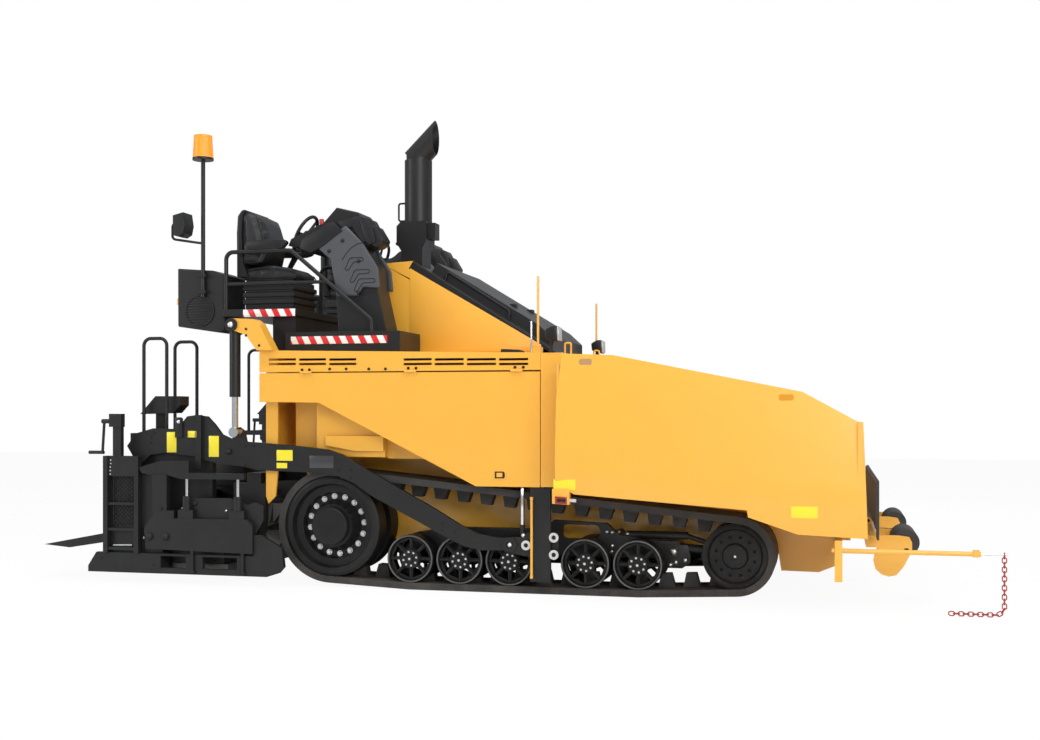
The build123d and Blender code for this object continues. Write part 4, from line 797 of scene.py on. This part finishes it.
def dressTowPoint():
    sideStuds("trackPins", buttonMaster, "zincBolt", trackSet["pins"])
    side = trackSet["plateSide"]
    sidePiece(addPlate(trackSet["plate"], side, trackSet["plateDepth"]), "beamPlates", "blackPaint")
    pins = spread(buttonMaster, [((x, side, z), size) for x, z, size in trackSet["platePins"]])
    sidePiece(pins, "beamPins", "zincBolt")
    groups = {}
    for x, z, outer, inner, finish in trackSet["rings"]:
        node, place = sideHit(x, z)
        ring = addRing(place, outer, inner, trackSet["ringDepth"])
        groups.setdefault((finish, bodyOf[node]), []).append(ring)
    for (finish, body), rings in groups.items():
        sidePiece(joinPieces(rings), "pinRings-" + finish + body, finish, body)


dressTowPoint()
print("track pins placed")


# Seats: padded cushion and back, swollen by a cloth step, with piping, shell and armrests
seatSet = {
    "near": -1.090,
    "far": -0.630,
    "cushion": ((-2.030, 2.425), (-2.030, 2.500), (-1.940, 2.520), (-1.790, 2.533), (-1.615, 2.505),
                (-1.560, 2.485), (-1.540, 2.450), (-1.570, 2.425)),
    "back": ((-2.040, 2.560), (-2.045, 2.810), (-2.035, 2.940), (-2.005, 2.982), (-1.965, 2.982),
             (-1.895, 2.952), (-1.872, 2.905), (-1.835, 2.790), (-1.822, 2.700), (-1.860, 2.560)),
    # part, its inset from the seat's sides, how far out its piping runs
    "pads": (("cushion", 0.020, -0.012), ("back", 0.016, -0.010)),
    "padEdge": 0.022,
    "shell": ((-2.062, 2.450), (-2.064, 2.810), (-2.055, 2.945), (-2.020, 2.992), (-1.985, 2.996),
              (-2.010, 2.940), (-2.020, 2.800), (-2.005, 2.560), (-1.960, 2.450)),
    "armrest": ((-1.945, 2.690), (-1.940, 2.735), (-1.640, 2.740), (-1.600, 2.725), (-1.590, 2.706),
                (-1.625, 2.668), (-1.680, 2.655), (-1.900, 2.660)),
    "restGap": (-0.075, 0.015),
    "pivot": (-1.925, 2.680),
    "strut": ((-1.850, 2.560), (-1.810, 2.560), (-1.745, 2.662), (-1.800, 2.662)),
    "voxel": 0.006,
    "pressure": 4.0,
    "steps": 20,
    "cap": 0.016,
    "piping": 0.0045,
    "pipingInset": 0.030,
    "fill": 0.85,
}


def swell(piece):
    settle(piece)
    even = piece.modifiers.new("even", "REMESH")
    even.mode = "VOXEL"
    even.voxel_size = seatSet["voxel"]
    bpy.ops.object.modifier_apply(modifier="even")
    before = [corner.co.copy() for corner in piece.data.vertices]
    cloth = piece.modifiers.new("pad", "CLOTH")
    cloth.settings.quality = 4
    cloth.settings.use_pressure = True
    cloth.settings.uniform_pressure_force = seatSet["pressure"]
    cloth.settings.effector_weights.gravity = 0
    for step in range(1, seatSet["steps"] + 1):
        bpy.context.scene.frame_set(step)
    bpy.ops.object.modifier_apply(modifier="pad")
    for corner, start in zip(piece.data.vertices, before):
        move = corner.co - start
        if move.length > seatSet["cap"]:
            corner.co = start + move.normalized() * seatSet["cap"]
    bpy.context.scene.frame_set(1)
    editAll()
    bpy.ops.mesh.vertices_smooth(factor=0.5, repeat=8)
    editDone()
    smooth = piece.modifiers.new("smooth", "SUBSURF")
    smooth.levels = 1
    smooth.render_levels = 1
    bpy.ops.object.modifier_apply(modifier="smooth")
    return piece


def addPiping(outline, side, out):
    middle = [sum(values) / len(outline) for values in zip(*outline)]
    points = []
    for x, z in outline:
        away = Vector((x - middle[0], z - middle[1])).normalized() * out
        points.append((x + away.x, side, z + away.y))
    return addPipe(points + [points[0]], seatSet["piping"], 0.012, 3, 5)


def addSeat():
    near, far = seatSet["near"], seatSet["far"]
    pads = {}
    for part, inset, out in seatSet["pads"]:
        pads[part] = swell(addPlate(seatSet[part], near + inset, far - near - 2 * inset, seatSet["padEdge"]))
    shell = addPlate(seatSet["shell"], near + 0.004, far - near - 0.008, 0.012)
    seams = [addPiping(seatSet[part], side, out) for part, inset, out in seatSet["pads"]
             for side in (near + seatSet["pipingInset"], far - seatSet["pipingInset"])]
    rests = []
    pivotX, pivotZ = seatSet["pivot"]
    for side in (near + seatSet["restGap"][0], far + seatSet["restGap"][1]):
        rests.append(addPlate(seatSet["armrest"], side, 0.060, 0.014))
        rests.append(addBar((pivotX, side + 0.005, pivotZ), (pivotX, side + 0.060, pivotZ), 0.034, 24))
        rests.append(addPlate(seatSet["strut"], side + 0.018, 0.024))
    for part, pad in pads.items():
        twin = otherSide(pad)
        for piece, name in ((pad, "seatPad-" + part), (twin, "seatPadFar-" + part)):
            finishPiece(piece, name, "seatVinyl", "tractor", 60)
            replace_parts(piece, "seats")
    sidePiece(shell, "seatShells", "blackMoulding")
    sidePiece(joinPieces(seams), "seatPiping", "seatVinyl")
    sidePiece(joinPieces(rests), "armrests", "blackMoulding")


addSeat()
print("seats padded")


# Operator stations: control head, screen box, knobs, switches and levers
stationSet = {
    "near": -1.140,
    # distance from the near side, width, rounding, outline
    "parts": (
        (0.010, 0.500, 0.012, ((-1.500, 2.655), (-1.480, 2.735), (-1.334, 2.806), (-1.284, 2.850),
                               (-1.215, 2.862), (-1.130, 2.790), (-1.199, 2.745), (-1.300, 2.672),
                               (-1.402, 2.620))),
        (0.030, 0.300, 0.008, ((-1.183, 2.864), (-1.141, 2.790), (-1.060, 2.820), (-0.985, 2.700),
                               (-0.900, 2.690), (-0.960, 2.890), (-1.040, 2.900))),
        (0.060, 0.260, 0.008, ((-1.183, 2.860), (-1.149, 2.953), (-1.015, 2.905), (-1.048, 2.822))),
        (0.020, 0.230, 0.012, ((-1.010, 2.903), (-0.930, 2.885), (-0.885, 2.800), (-0.860, 2.690),
                               (-0.925, 2.672), (-0.965, 2.760))),
        (0.035, 0.180, 0.012, ((-0.930, 2.835), (-0.868, 2.822), (-0.802, 2.712), (-0.818, 2.680),
                               (-0.862, 2.650), (-0.915, 2.680))),
    ),
    "glass": ((-1.186, 2.864), (-1.154, 2.948), (-1.151, 2.947), (-1.183, 2.863)),
    "knob": ((-1.325, 2.848), (-1.331, 2.893)),
    "knobSides": (0.060, 0.200),
    "switch": (-1.455, 2.750),
    "switchRow": (0.062, 0.031),
    "switches": 7,
    "leverSides": (0.330, 0.440),
}


def addStation():
    near = stationSet["near"]
    dark = [addPlate(outline, near + side, width, edge) for side, width, edge, outline in stationSet["parts"]]
    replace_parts(sidePiece(joinPieces(dark), "stationHeads", "blackMoulding"), "console_heads")
    (x0, z0), (x1, z1) = stationSet["knob"]
    reds = [addBar((x0, near + side, z0), (x1, near + side, z1), 0.019, 20, 0.004)
            for side in stationSet["knobSides"]]
    sidePiece(joinPieces(reds), "redKnobs", "redPaint")
    # rocker switches and two levers with knobs on the sloping top of the panel
    small = []
    for row in range(2):
        x, z = [start + row * move for start, move in zip(stationSet["switch"], stationSet["switchRow"])]
        for step in range(stationSet["switches"]):
            side = near + 0.060 + step * 0.062
            small.append(addBar((x, side, z - 0.004), (x - 0.006, side, z + 0.016), 0.012, 14))
    for side in stationSet["leverSides"]:
        small.append(addBar((-1.270, near + side, 2.850), (-1.315, near + side, 2.925), 0.008, 12))
        small.append(addBar((-1.312, near + side, 2.920), (-1.326, near + side, 2.944), 0.020, 20, 0.006))
    sidePiece(joinPieces(small), "stationSwitches", "blackMoulding")
    sidePiece(addPlate(stationSet["glass"], near + 0.078, 0.224, 0), "stationScreens", "screenGlass")


# Grey moulding of the console: bolts, three raised arrows and a seam
mouldingSet = {
    "bolts": ((-1.137, 2.712), (-1.250, 2.633), (-1.003, 2.547), (-1.003, 2.297)),
    "boltSize": 0.030,
    "face": (-1.000, 2.450),
    "arrows": ((-1.103, 2.484), (-1.061, 2.389), (-1.028, 2.317)),
    "arrowGrowth": 0.012,
    # dx, dz and 1 for the corners that reach further on each lower arrow
    "arrow": ((0, -0.008, 0), (-0.012, 0.004, 0), (0.022, 0.078, 0), (0.040, 0.090, 0), (0.130, 0.090, 1),
              (0.140, 0.080, 1), (0.136, 0.062, 1), (0.058, 0.056, 0), (0.018, -0.004, 0), (0, -0.008, 0)),
    "seam": ((-1.140, 2.560), (-1.105, 2.610), (-1.061, 2.655), (-1.010, 2.682), (-0.955, 2.695)),
    "wire": 0.0034,
}


def dressMoulding():
    heads = [(sideHit(x, z, "consoles", "console_heads", "seat_bases")[1], mouldingSet["boltSize"])
             for x, z in mouldingSet["bolts"]]
    sidePiece(spread(buttonMaster, heads), "mouldingBolts", "blackMoulding")
    side = sideHit(*mouldingSet["face"], "consoles")[1].y
    ridges = []
    for step, (x, z) in enumerate(mouldingSet["arrows"]):
        run = [(x + dx + mouldingSet["arrowGrowth"] * step * grows, side, z + dz)
               for dx, dz, grows in mouldingSet["arrow"]]
        ridges.append(addPipe(run, mouldingSet["wire"], 0.006, 2, 5))
    ridges.append(addPipe([(x, side, z) for x, z in mouldingSet["seam"]], mouldingSet["wire"], 0.02, 4, 5))
    sidePiece(joinPieces(ridges), "mouldingRidges", "blackMoulding")


# Steering wheels: a copy that stands steeper than the plain solids, tipped about the hub
wheelSet = {"tip": 30, "move": (0.040, 0, -0.010)}


def turnWheels():
    corners = [corner.co for corner in cadNodes["steering_wheels"].data.vertices]
    low = [min(corner[axis] for corner in corners) for axis in range(3)]
    high = [max(corner[axis] for corner in corners) for axis in range(3)]
    middle = ((low[0] + high[0]) / 2, 0, (low[2] + high[2]) / 2)
    piece = copyNode("steering_wheels")
    bpy.ops.mesh.normals_make_consistent(inside=False)
    bpy.ops.transform.rotate(value=math.radians(wheelSet["tip"]), orient_axis="Y", center_override=middle)
    bpy.ops.transform.translate(value=wheelSet["move"])
    editDone()
    finishPiece(piece, "steeringWheels", "blackMoulding")
    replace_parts(piece, "steering_wheels")


addStation()
dressMoulding()
turnWheels()
print("stations fitted")


# Deck edge stripes: thin plates with slanted red and white bands
stripeSet = {
    "pitch": 0.104,
    "lean": 0.50,
    "red": (0.62, 0.012, 0.016, 1),
    "white": (0.82, 0.82, 0.80, 1),
    # x from, x to, z from, z to, name
    "rows": ((-1.537, -0.735, 1.897, 1.957, "lowerStripe"), (-1.957, -1.511, 2.121, 2.180, "upperStripe")),
}


def makeStripes():
    material, tree, shader = newMaterial("warningStripes")
    place = addNode(tree, "TexCoord")
    cut = addNode(tree, "SeparateXYZ")
    lean = addNode(tree, "Math", {1: stripeSet["lean"]}, "MULTIPLY_ADD")
    size = addNode(tree, "Math", {1: 1 / stripeSet["pitch"]}, "MULTIPLY")
    share = addNode(tree, "Math", operation="FRACT")
    band = addNode(tree, "Math", {1: 0.5}, "GREATER_THAN")
    both = addNode(tree, "Mix", {"A": stripeSet["red"], "B": stripeSet["white"]})
    grain = useGroup(tree, grainGroup, {"Roughness": 0.35, "Variation": 0.15})
    dust = useGroup(tree, dustGroup, {"Amount": 0.15, "High Height": 3.0})
    linkAll(tree, (place, "Object", cut, 0), (cut, "Z", lean, 0), (cut, "X", lean, 2), (lean, 0, size, 0),
            (size, 0, share, 0), (share, 0, band, 0), (band, 0, both, "Factor"),
            (both, "Result", dust, "Colour"), (dust, "Colour", shader, "Base Color"),
            (grain, "Roughness", shader, "Roughness"), (grain, "Normal", shader, "Normal"))
    return material


finishes["warningStripes"] = makeStripes()
slotOf["warningStripes"] = "yellow_paint"


def addStripes():
    for x0, x1, z0, z1, name in stripeSet["rows"]:
        face = sideHit((x0 + x1) / 2, (z0 + z1) / 2, "operator_deck", "rear_cabinets")[1].y
        stripe = addPlate(boxOutline(x0, x1, z0, z1), face - 0.003, 0.004, 0.0008)
        sidePiece(stripe, name, "warningStripes")


addStripes()
print("stripes on the deck")


# Blank labels, each on the face below its middle
labelRows = (
    # x from, x to, z from, z to, finish
    (-2.579, -2.495, 1.041, 1.204, "labelYellow"), (-2.394, -2.306, 1.161, 1.213, "labelYellow"),
    (-2.210, -2.123, 1.008, 1.174, "labelYellow"), (-1.627, -1.492, 0.982, 1.066, "labelYellow"),
    (-1.627, -1.538, 0.923, 0.965, "labelYellow"), (-1.350, -1.150, 0.928, 1.024, "labelDark"),
    (0.676, 0.836, 0.807, 0.882, "labelYellow"), (2.333, 2.509, 0.639, 0.719, "labelYellow"),
)


def faceDepth(x, z, node, middle):
    # how far out the node's face lies here, or its middle's depth past the face's edge
    place = solidOf[node].ray_cast(Vector((x, sideStart, z)), Vector(inwards))[0]
    if place is None or abs(place.y - middle) > 0.05:
        return middle
    return place.y


def addLabels():
    for number, (x0, x1, z0, z1, finish) in enumerate(labelRows):
        outline = boxOutline(x0, x1, z0, z1)
        node, middle = sideHit((x0 + x1) / 2, (z0 + z1) / 2)
        depth = [faceDepth(x, z, node, middle.y) for x, z in outline]
        piece = addPlate(outline, 0, 0.0022, 0.0006)
        for vertex in piece.data.vertices:
            # each corner lies on the face below it, so a leaning side carries a leaning label
            acrossX = (vertex.co.x - x0) / (x1 - x0)
            acrossZ = (vertex.co.z - z0) / (z1 - z0)
            low = depth[0] * (1 - acrossX) + depth[1] * acrossX
            high = depth[3] * (1 - acrossX) + depth[2] * acrossX
            vertex.co.y += low * (1 - acrossZ) + high * acrossZ - 0.0015
        sidePiece(piece, f"label{number}", finish, bodyOf[node])


addLabels()
print("labels placed")


# Wing bracket with its red plate and plugs
wingSet = {
    "spot": (0.730, 0.850),
    "bracket": ((0.667, 0.708), (0.667, 0.815), (0.793, 0.815), (0.793, 0.702)),
    "redPlate": ((0.690, 0.709), (0.690, 0.762), (0.776, 0.757), (0.776, 0.706)),
    "plugX": (0.722, 0.756),
    "plugZ": 0.735,
    "pin": ((0.780, 0.733), (0.838, 0.731)),
}


def dressWings():
    face = sideHit(*wingSet["spot"], "hopper_wing_right")[1].y
    bracket = addPlate(wingSet["bracket"], face - 0.010, 0.060, 0.003)
    sidePiece(bracket, "wingBrackets", "yellowPaint", "wing_right")
    redPlate = addPlate(wingSet["redPlate"], face - 0.016, 0.008, 0.002)
    sidePiece(redPlate, "wingRedPlates", "redPaint", "wing_right")
    z = wingSet["plugZ"]
    plugs = [addBar((x, face - 0.014, z), (x, face - 0.040, z), 0.014, 18) for x in wingSet["plugX"]]
    sidePiece(joinPieces(plugs), "wingPlugs", "blackMoulding", "wing_right")
    (x0, z0), (x1, z1) = wingSet["pin"]
    pin = addBar((x0, face + 0.012, z0), (x1, face + 0.012, z1), 0.012, 18)
    sidePiece(pin, "wingPins", "greyPaint", "wing_right")


# Door latch: plate, dark cup and paddle
latchSet = {"box": (0.150, 0.252, 0.858, 0.930), "corner": (0.016, 0.020)}


def dressDoors():
    x0, x1, z0, z1 = latchSet["box"]
    dx, dz = latchSet["corner"]
    face = sideHit((x0 + x1) / 2, (z0 + z1) / 2)[1].y
    plate = ((x0, z0), (x1 - dx, z0), (x1, z0 + dz), (x1, z1 - dz), (x1 - dx, z1), (x0, z1))
    sidePiece(addPlate(plate, face - 0.004, 0.006, 0.002), "doorLatchPlates", "yellowPaint", "door_right")
    cup = ((x0 + 0.012, z0 + 0.010), (x1 - 0.020, z0 + 0.010), (x1 - 0.012, z0 + 0.022),
           (x1 - 0.012, z1 - 0.022), (x1 - 0.020, z1 - 0.010), (x0 + 0.012, z1 - 0.010))
    sidePiece(addPlate(cup, face - 0.0055, 0.004, 0.001), "doorLatchCups", "blackMoulding", "door_right")
    paddle = boxOutline(x0 + 0.026, x1 - 0.030, z0 + 0.020, z1 - 0.020)
    sidePiece(addPlate(paddle, face - 0.011, 0.007, 0.003), "doorLatchPaddles", "yellowPaint", "door_right")


# Bolts along the body side and on the tow arms
boltSet = {
    "side": ((-1.384, 1.690), (-1.324, 1.690), (-1.155, 1.695), (-1.020, 1.694), (-0.836, 1.692),
             (-0.701, 1.691), (-0.516, 1.695), (-0.456, 1.695), (0.318, 1.695), (0.380, 1.694)),
    "sideSize": 0.017,
    "arm": ((-2.694, 1.195), (-2.721, 1.163), (-2.721, 1.115), (-1.897, 1.095), (-1.897, 0.945),
            (-1.825, 1.096), (-1.105, 0.914), (-1.011, 0.915), (-1.105, 0.850), (-1.011, 0.851),
            (-0.272, 0.524), (-0.272, 0.463), (-0.180, 0.455), (-1.830, 2.010), (-1.830, 1.960),
            (-1.720, 1.880)),
    "armSize": 0.016,
}

# Hood skins, rails and catch; lamps, pointer rods, grab loops, vents and the stack's handle
hoodSet = {
    "skin": ((-0.722, 1.846), (0.369, 1.846), (0.369, 1.897), (-0.722, 2.531)),
    "skinSide": -0.704,
    "railTube": 0.011,
    "railSide": -0.640,
    "railFeet": (-0.441, 0.085),
    "railLean": (0.25, 0, 1),
    "railHeight": 0.075,
    "catch": (0.048, -0.300),
    "lamp": (0.500, -0.950),
    "housing": ((0.478, 1.925), (0.470, 1.990), (0.520, 2.020), (0.565, 2.022), (0.570, 1.900),
                (0.530, 1.905)),
    "glass": ((0.566, 1.908), (0.562, 2.014), (0.577, 2.012), (0.580, 1.910)),
    "rod": (0.441, -1.330, 2.036),
    "loop": (0.545, 0.594, -0.620, 1.911),
    "vent": (0.240, -1.100),
    "stack": (-0.710, 3.000),
    "handle": (-0.790, -0.875, 2.940, 3.085),
}


def dressHood():
    # outer skin of the hood's flank: its upper edge follows the black slope
    skin = addPlate(hoodSet["skin"], hoodSet["skinSide"], 0.0045, 0.0015)
    sidePiece(skin, "hoodSkins", "yellowPaint")
    feet = [topHit(x, hoodSet["railSide"]) for x in hoodSet["railFeet"]]
    lean = Vector(hoodSet["railLean"]).normalized() * hoodSet["railHeight"]
    rail = [feet[0] - lean * 0.1, feet[0] + lean, feet[1] + lean, feet[1] - lean * 0.1]
    sidePiece(addPipe(rail, hoodSet["railTube"], 0.030), "hoodRails", "blackPaint")
    lid = topHit(*hoodSet["catch"])
    catch = addBlock((lid.x - 0.030, -0.335, lid.z - 0.015), (lid.x + 0.025, -0.265, lid.z + 0.024), 0.006)
    sidePiece(catch, "hoodCatches", "blackMoulding")


def dressRoof():
    # work lamps ahead of the hood, each on a bent bracket
    x, y = hoodSet["lamp"]
    foot = topHit(x, y).z - 0.004
    housing = addPlate(hoodSet["housing"], y - 0.075, 0.150, 0.010)
    bracket = addPipe([(0.505, y, foot), (0.505, y, 1.880), (0.522, y, 1.925)], 0.014, 0.020)
    sidePiece(joinPieces([housing, bracket]), "workLamps", "blackPaint")
    sidePiece(addPlate(hoodSet["glass"], y - 0.066, 0.132, 0.004), "workLampGlass", "lampGlass")
    x, y, top = hoodSet["rod"]
    rod = addBar((x, y, topHit(x, y).z - 0.004), (x, y, top), 0.0065, 12)
    sidePiece(rod, "pointerRods", "chrome")
    x0, x1, y, top = hoodSet["loop"]
    foot = topHit(x0, y).z - 0.004
    loop = addPipe([(x0, y, foot), (x0, y, top), (x1, y, top), (x1, y, foot)], 0.008, 0.018)
    sidePiece(loop, "grabLoops", "yellowPaint")
    roof = topHit(*hoodSet["vent"]).z
    vent = ((0.160, roof - 0.004), (0.168, roof + 0.034), (0.312, roof + 0.026), (0.322, roof - 0.004))
    sidePiece(addPlate(vent, -1.180, 0.150, 0.006), "bodyVents", "blackPaint")
    y = sideHit(*hoodSet["stack"], "exhaust_stack")[1].y + 0.080
    near, far, low, high = hoodSet["handle"]
    handle = addPipe([(near, y, low), (far, y, low), (far, y, high), (near, y, high)], 0.008, 0.020)
    finishPiece(handle, "stackHandle", "blackPaint")


dressWings()
dressDoors()
for kind in ("side", "arm"):
    boltRows = [(x, z, boltSet[kind + "Size"]) for x, z in boltSet[kind]]
    sideStuds(kind + "Bolts", boltMaster, "blackPaint", boltRows)
dressHood()
dressRoof()
print("body and hood dressed")


# Rear cabinet: round grille, side lamp; lift pins
cabinetSet = {
    "grille": (-2.357, 2.180),
    "side": -1.140,
    "radius": 0.128,
    "rim": 0.010,
    "slats": 11,
    "lamp": (-1.080, 2.262),
    "pin": (-1.955, 2.045),
    "pinCap": 0.052,
    "pinSize": 0.050,
}


def dressCabinets():
    x, z = cabinetSet["grille"]
    side, radius = cabinetSet["side"], cabinetSet["radius"]
    parts = [addRing((x, side + 0.002, z), radius, radius - cabinetSet["rim"], 0.010)]
    for step in range(cabinetSet["slats"]):
        drop = (step + 1) / (cabinetSet["slats"] + 1) * 2 - 1
        half = math.sqrt(1 - drop * drop) * (radius - 0.006)
        middle = z + drop * radius
        low, high = (x - half, side - 0.006, middle - 0.004), (x + half, side + 0.002, middle + 0.004)
        parts.append(addBlock(low, high, 0.0015))
    sidePiece(joinPieces(parts), "cabinetGrilles", "blackMoulding")
    y, z = cabinetSet["lamp"]
    x = hitFrom((-4.0, y, z), (1, 0, 0), ("rear_cabinets",))[1].x
    lamp = addBlock((x - 0.016, -1.125, 2.235), (x + 0.004, -1.045, 2.290), 0.006)
    sidePiece(lamp, "cabinetLamps", "amberLens")
    x, z = cabinetSet["pin"]
    node, place = sideHit(x, z)
    ring = addRing((x, place.y + 0.002, z), cabinetSet["pinCap"], 0, 0.016)
    sidePiece(ring, "liftPinCaps", "blackPaint", bodyOf[node])
    pin = spread(buttonMaster, [((x, place.y - 0.013, z), cabinetSet["pinSize"])])
    sidePiece(pin, "liftPins", "zincBolt", bodyOf[node])


dressCabinets()
print("cabinets dressed")


# Bright sleeve over the tow cylinder's rod, between its eye and the body side
rodSet = {"x": 0.362, "radius": 0.015, "sleeve": (0.523, 0.800), "eye": (0.446, 0.522), "eyeRadius": 0.019}


def dressTowRods():
    x, radius = rodSet["x"], rodSet["radius"]
    y = sideHit(x, 0.650, "tow_slides")[1].y + radius
    low, high = rodSet["sleeve"]
    sleeve = addBar((x, y, low), (x, y, high), radius + 0.0003, 64, 0.0001)
    sidePiece(sleeve, "towRodSleeves", "chrome", "tow_carriage")
    low, high = rodSet["eye"]
    eye = addBar((x, y, low), (x, y, high), rodSet["eyeRadius"], 32, 0.004)
    sidePiece(eye, "towRodEyes", "blackPaint", "tow_carriage")


dressTowRods()
print("tow rods dressed")


# Screed and tow arms: pins, plugs and bolts, mesh column, step bar, ear, threaded legs, junction box
screedSet = {
    # x, z, size
    "pins": ((-2.018, 0.588, 0.022), (-2.466, 0.588, 0.022), (-2.745, 0.358, 0.020), (-2.825, 0.292, 0.018)),
    "plugs": ((-2.661, 0.374, 0.062), (-2.518, 0.377, 0.062), (-2.290, 0.640, 0.040), (-2.035, 1.050, 0.050)),
    "bolts": ((-3.103, 0.191, 0.016), (-2.639, 0.148, 0.016), (-2.560, 0.600, 0.022)),
    "holes": ((-3.013, 0.979, 0.012), (-3.013, 0.951, 0.012), (-3.017, 0.923, 0.012), (-3.017, 0.895, 0.012),
              (-3.017, 0.867, 0.012)),
    "meshLow": (-3.010, 0.454),
    "meshHigh": (-2.840, 1.003),
    "meshPitch": 0.034,
    "wire": 0.0035,
    "edgeBar": 0.006,
    "stepBar": ((-3.013, 0.294), (-2.843, 0.298)),
    "ear": ((-2.501, 1.160), (-2.436, 1.160), (-2.436, 1.312), (-2.448, 1.322), (-2.501, 1.322)),
    "earSide": -1.284,
    "earPin": (-2.468, 1.285, 0.034),
    "leg": (-2.373, 0.177),
    "legRadius": 0.013,
    "threads": 8,
    "boxLow": (-2.820, -0.300),
    "boxHigh": (-2.380, 0.300, 0.985),
}


def meshWires(x0, z0, x1, z1, side):
    wires = []
    width, height = x1 - x0, z1 - z0
    for lean in (1, -1):
        offset = -height
        while offset < width:
            # the wire runs from the bottom edge at offset, and is cut at the sheet's sides
            start, end = max(0.0, -offset), min(height, width - offset)
            if end > start + 0.004:
                across = [offset + rise if lean > 0 else width - offset - rise for rise in (start, end)]
                wires.append(addBar((x0 + across[0], side, z0 + start), (x0 + across[1], side, z0 + end),
                                    screedSet["wire"], 6, 0.0005))
            offset += screedSet["meshPitch"]
    return wires


def dressScreed():
    sideStuds("screedPins", buttonMaster, "zincBolt", screedSet["pins"])
    sideStuds("screedPlugs", buttonMaster, "blackMoulding", screedSet["plugs"])
    sideStuds("screedBolts", boltMaster, "blackPaint", screedSet["bolts"])
    (x0, z0), (x1, z1) = screedSet["meshLow"], screedSet["meshHigh"]
    node, place = sideHit((x0 + x1) / 2, (z0 + z1) / 2)
    side = place.y - 0.003
    edges = [addBar((x, side, z0), (x, side, z1), screedSet["edgeBar"], 8) for x in (x0, x1)]
    wires = meshWires(x0, z0, x1, z1, side)
    sidePiece(joinPieces(wires + edges), "meshColumns", "blackPaint", bodyOf[node])
    side = screedSet["earSide"]
    sidePiece(addPlate(screedSet["ear"], side, 0.016, 0.002), "armEars", "blackPaint", "screed")
    x, z, size = screedSet["earPin"]
    sidePiece(spread(buttonMaster, [((x, side, z), size)]), "earPins", "zincBolt", "screed")
    (x0, z0), (x1, z1) = screedSet["stepBar"]
    node, place = sideHit((x0 + x1) / 2, z0)
    bar = addBar((x0, place.y - 0.006, z0), (x1, place.y - 0.006, z1), 0.0075, 14)
    sidePiece(bar, "stepBars", "greyPaint", bodyOf[node])
    sideStuds("columnHoles", buttonMaster, "greyPaint", screedSet["holes"])


def addThreads():
    # threaded leg below the screed body: a core with turned rings
    x, top = screedSet["leg"]
    node, place = sideHit(x, top - 0.030)
    y = place.y - 0.010
    parts = [addBar((x, y, top - 0.075), (x, y, top), screedSet["legRadius"], 18)]
    for step in range(screedSet["threads"]):
        parts.append(addBead((x, y, top - 0.008 - step * 0.009), 0.0135, 0.003, (0, 0, 1)))
    sidePiece(joinPieces(parts), "threadedLeg0", "zincBolt", bodyOf[node])


def addScreedBox():
    # junction box on the middle of the screed, with its lid and catches
    x0, y0 = screedSet["boxLow"]
    x1, y1, top = screedSet["boxHigh"]
    floor = topHit((x0 + x1) / 2, 0.0, "screed_frame").z
    body = addBlock((x0, y0, floor - 0.004), (x1, y1, top - 0.030), 0.010)
    lid = addBlock((x0 - 0.012, y0 - 0.012, top - 0.034), (x1 + 0.012, y1 + 0.012, top), 0.008)
    catches = [addBlock((x, y0 - 0.020, top - 0.080), (x + 0.030, y0 + 0.002, top - 0.024), 0.004)
               for x in (x0 + 0.080, x1 - 0.110)]
    finishPiece(joinPieces([body, lid] + catches), "screedBox", "blackPaint", "screed")


dressScreed()
addThreads()
addScreedBox()
print("screed dressed")

for master in (boltMaster, buttonMaster):
    bpy.data.objects.remove(master)
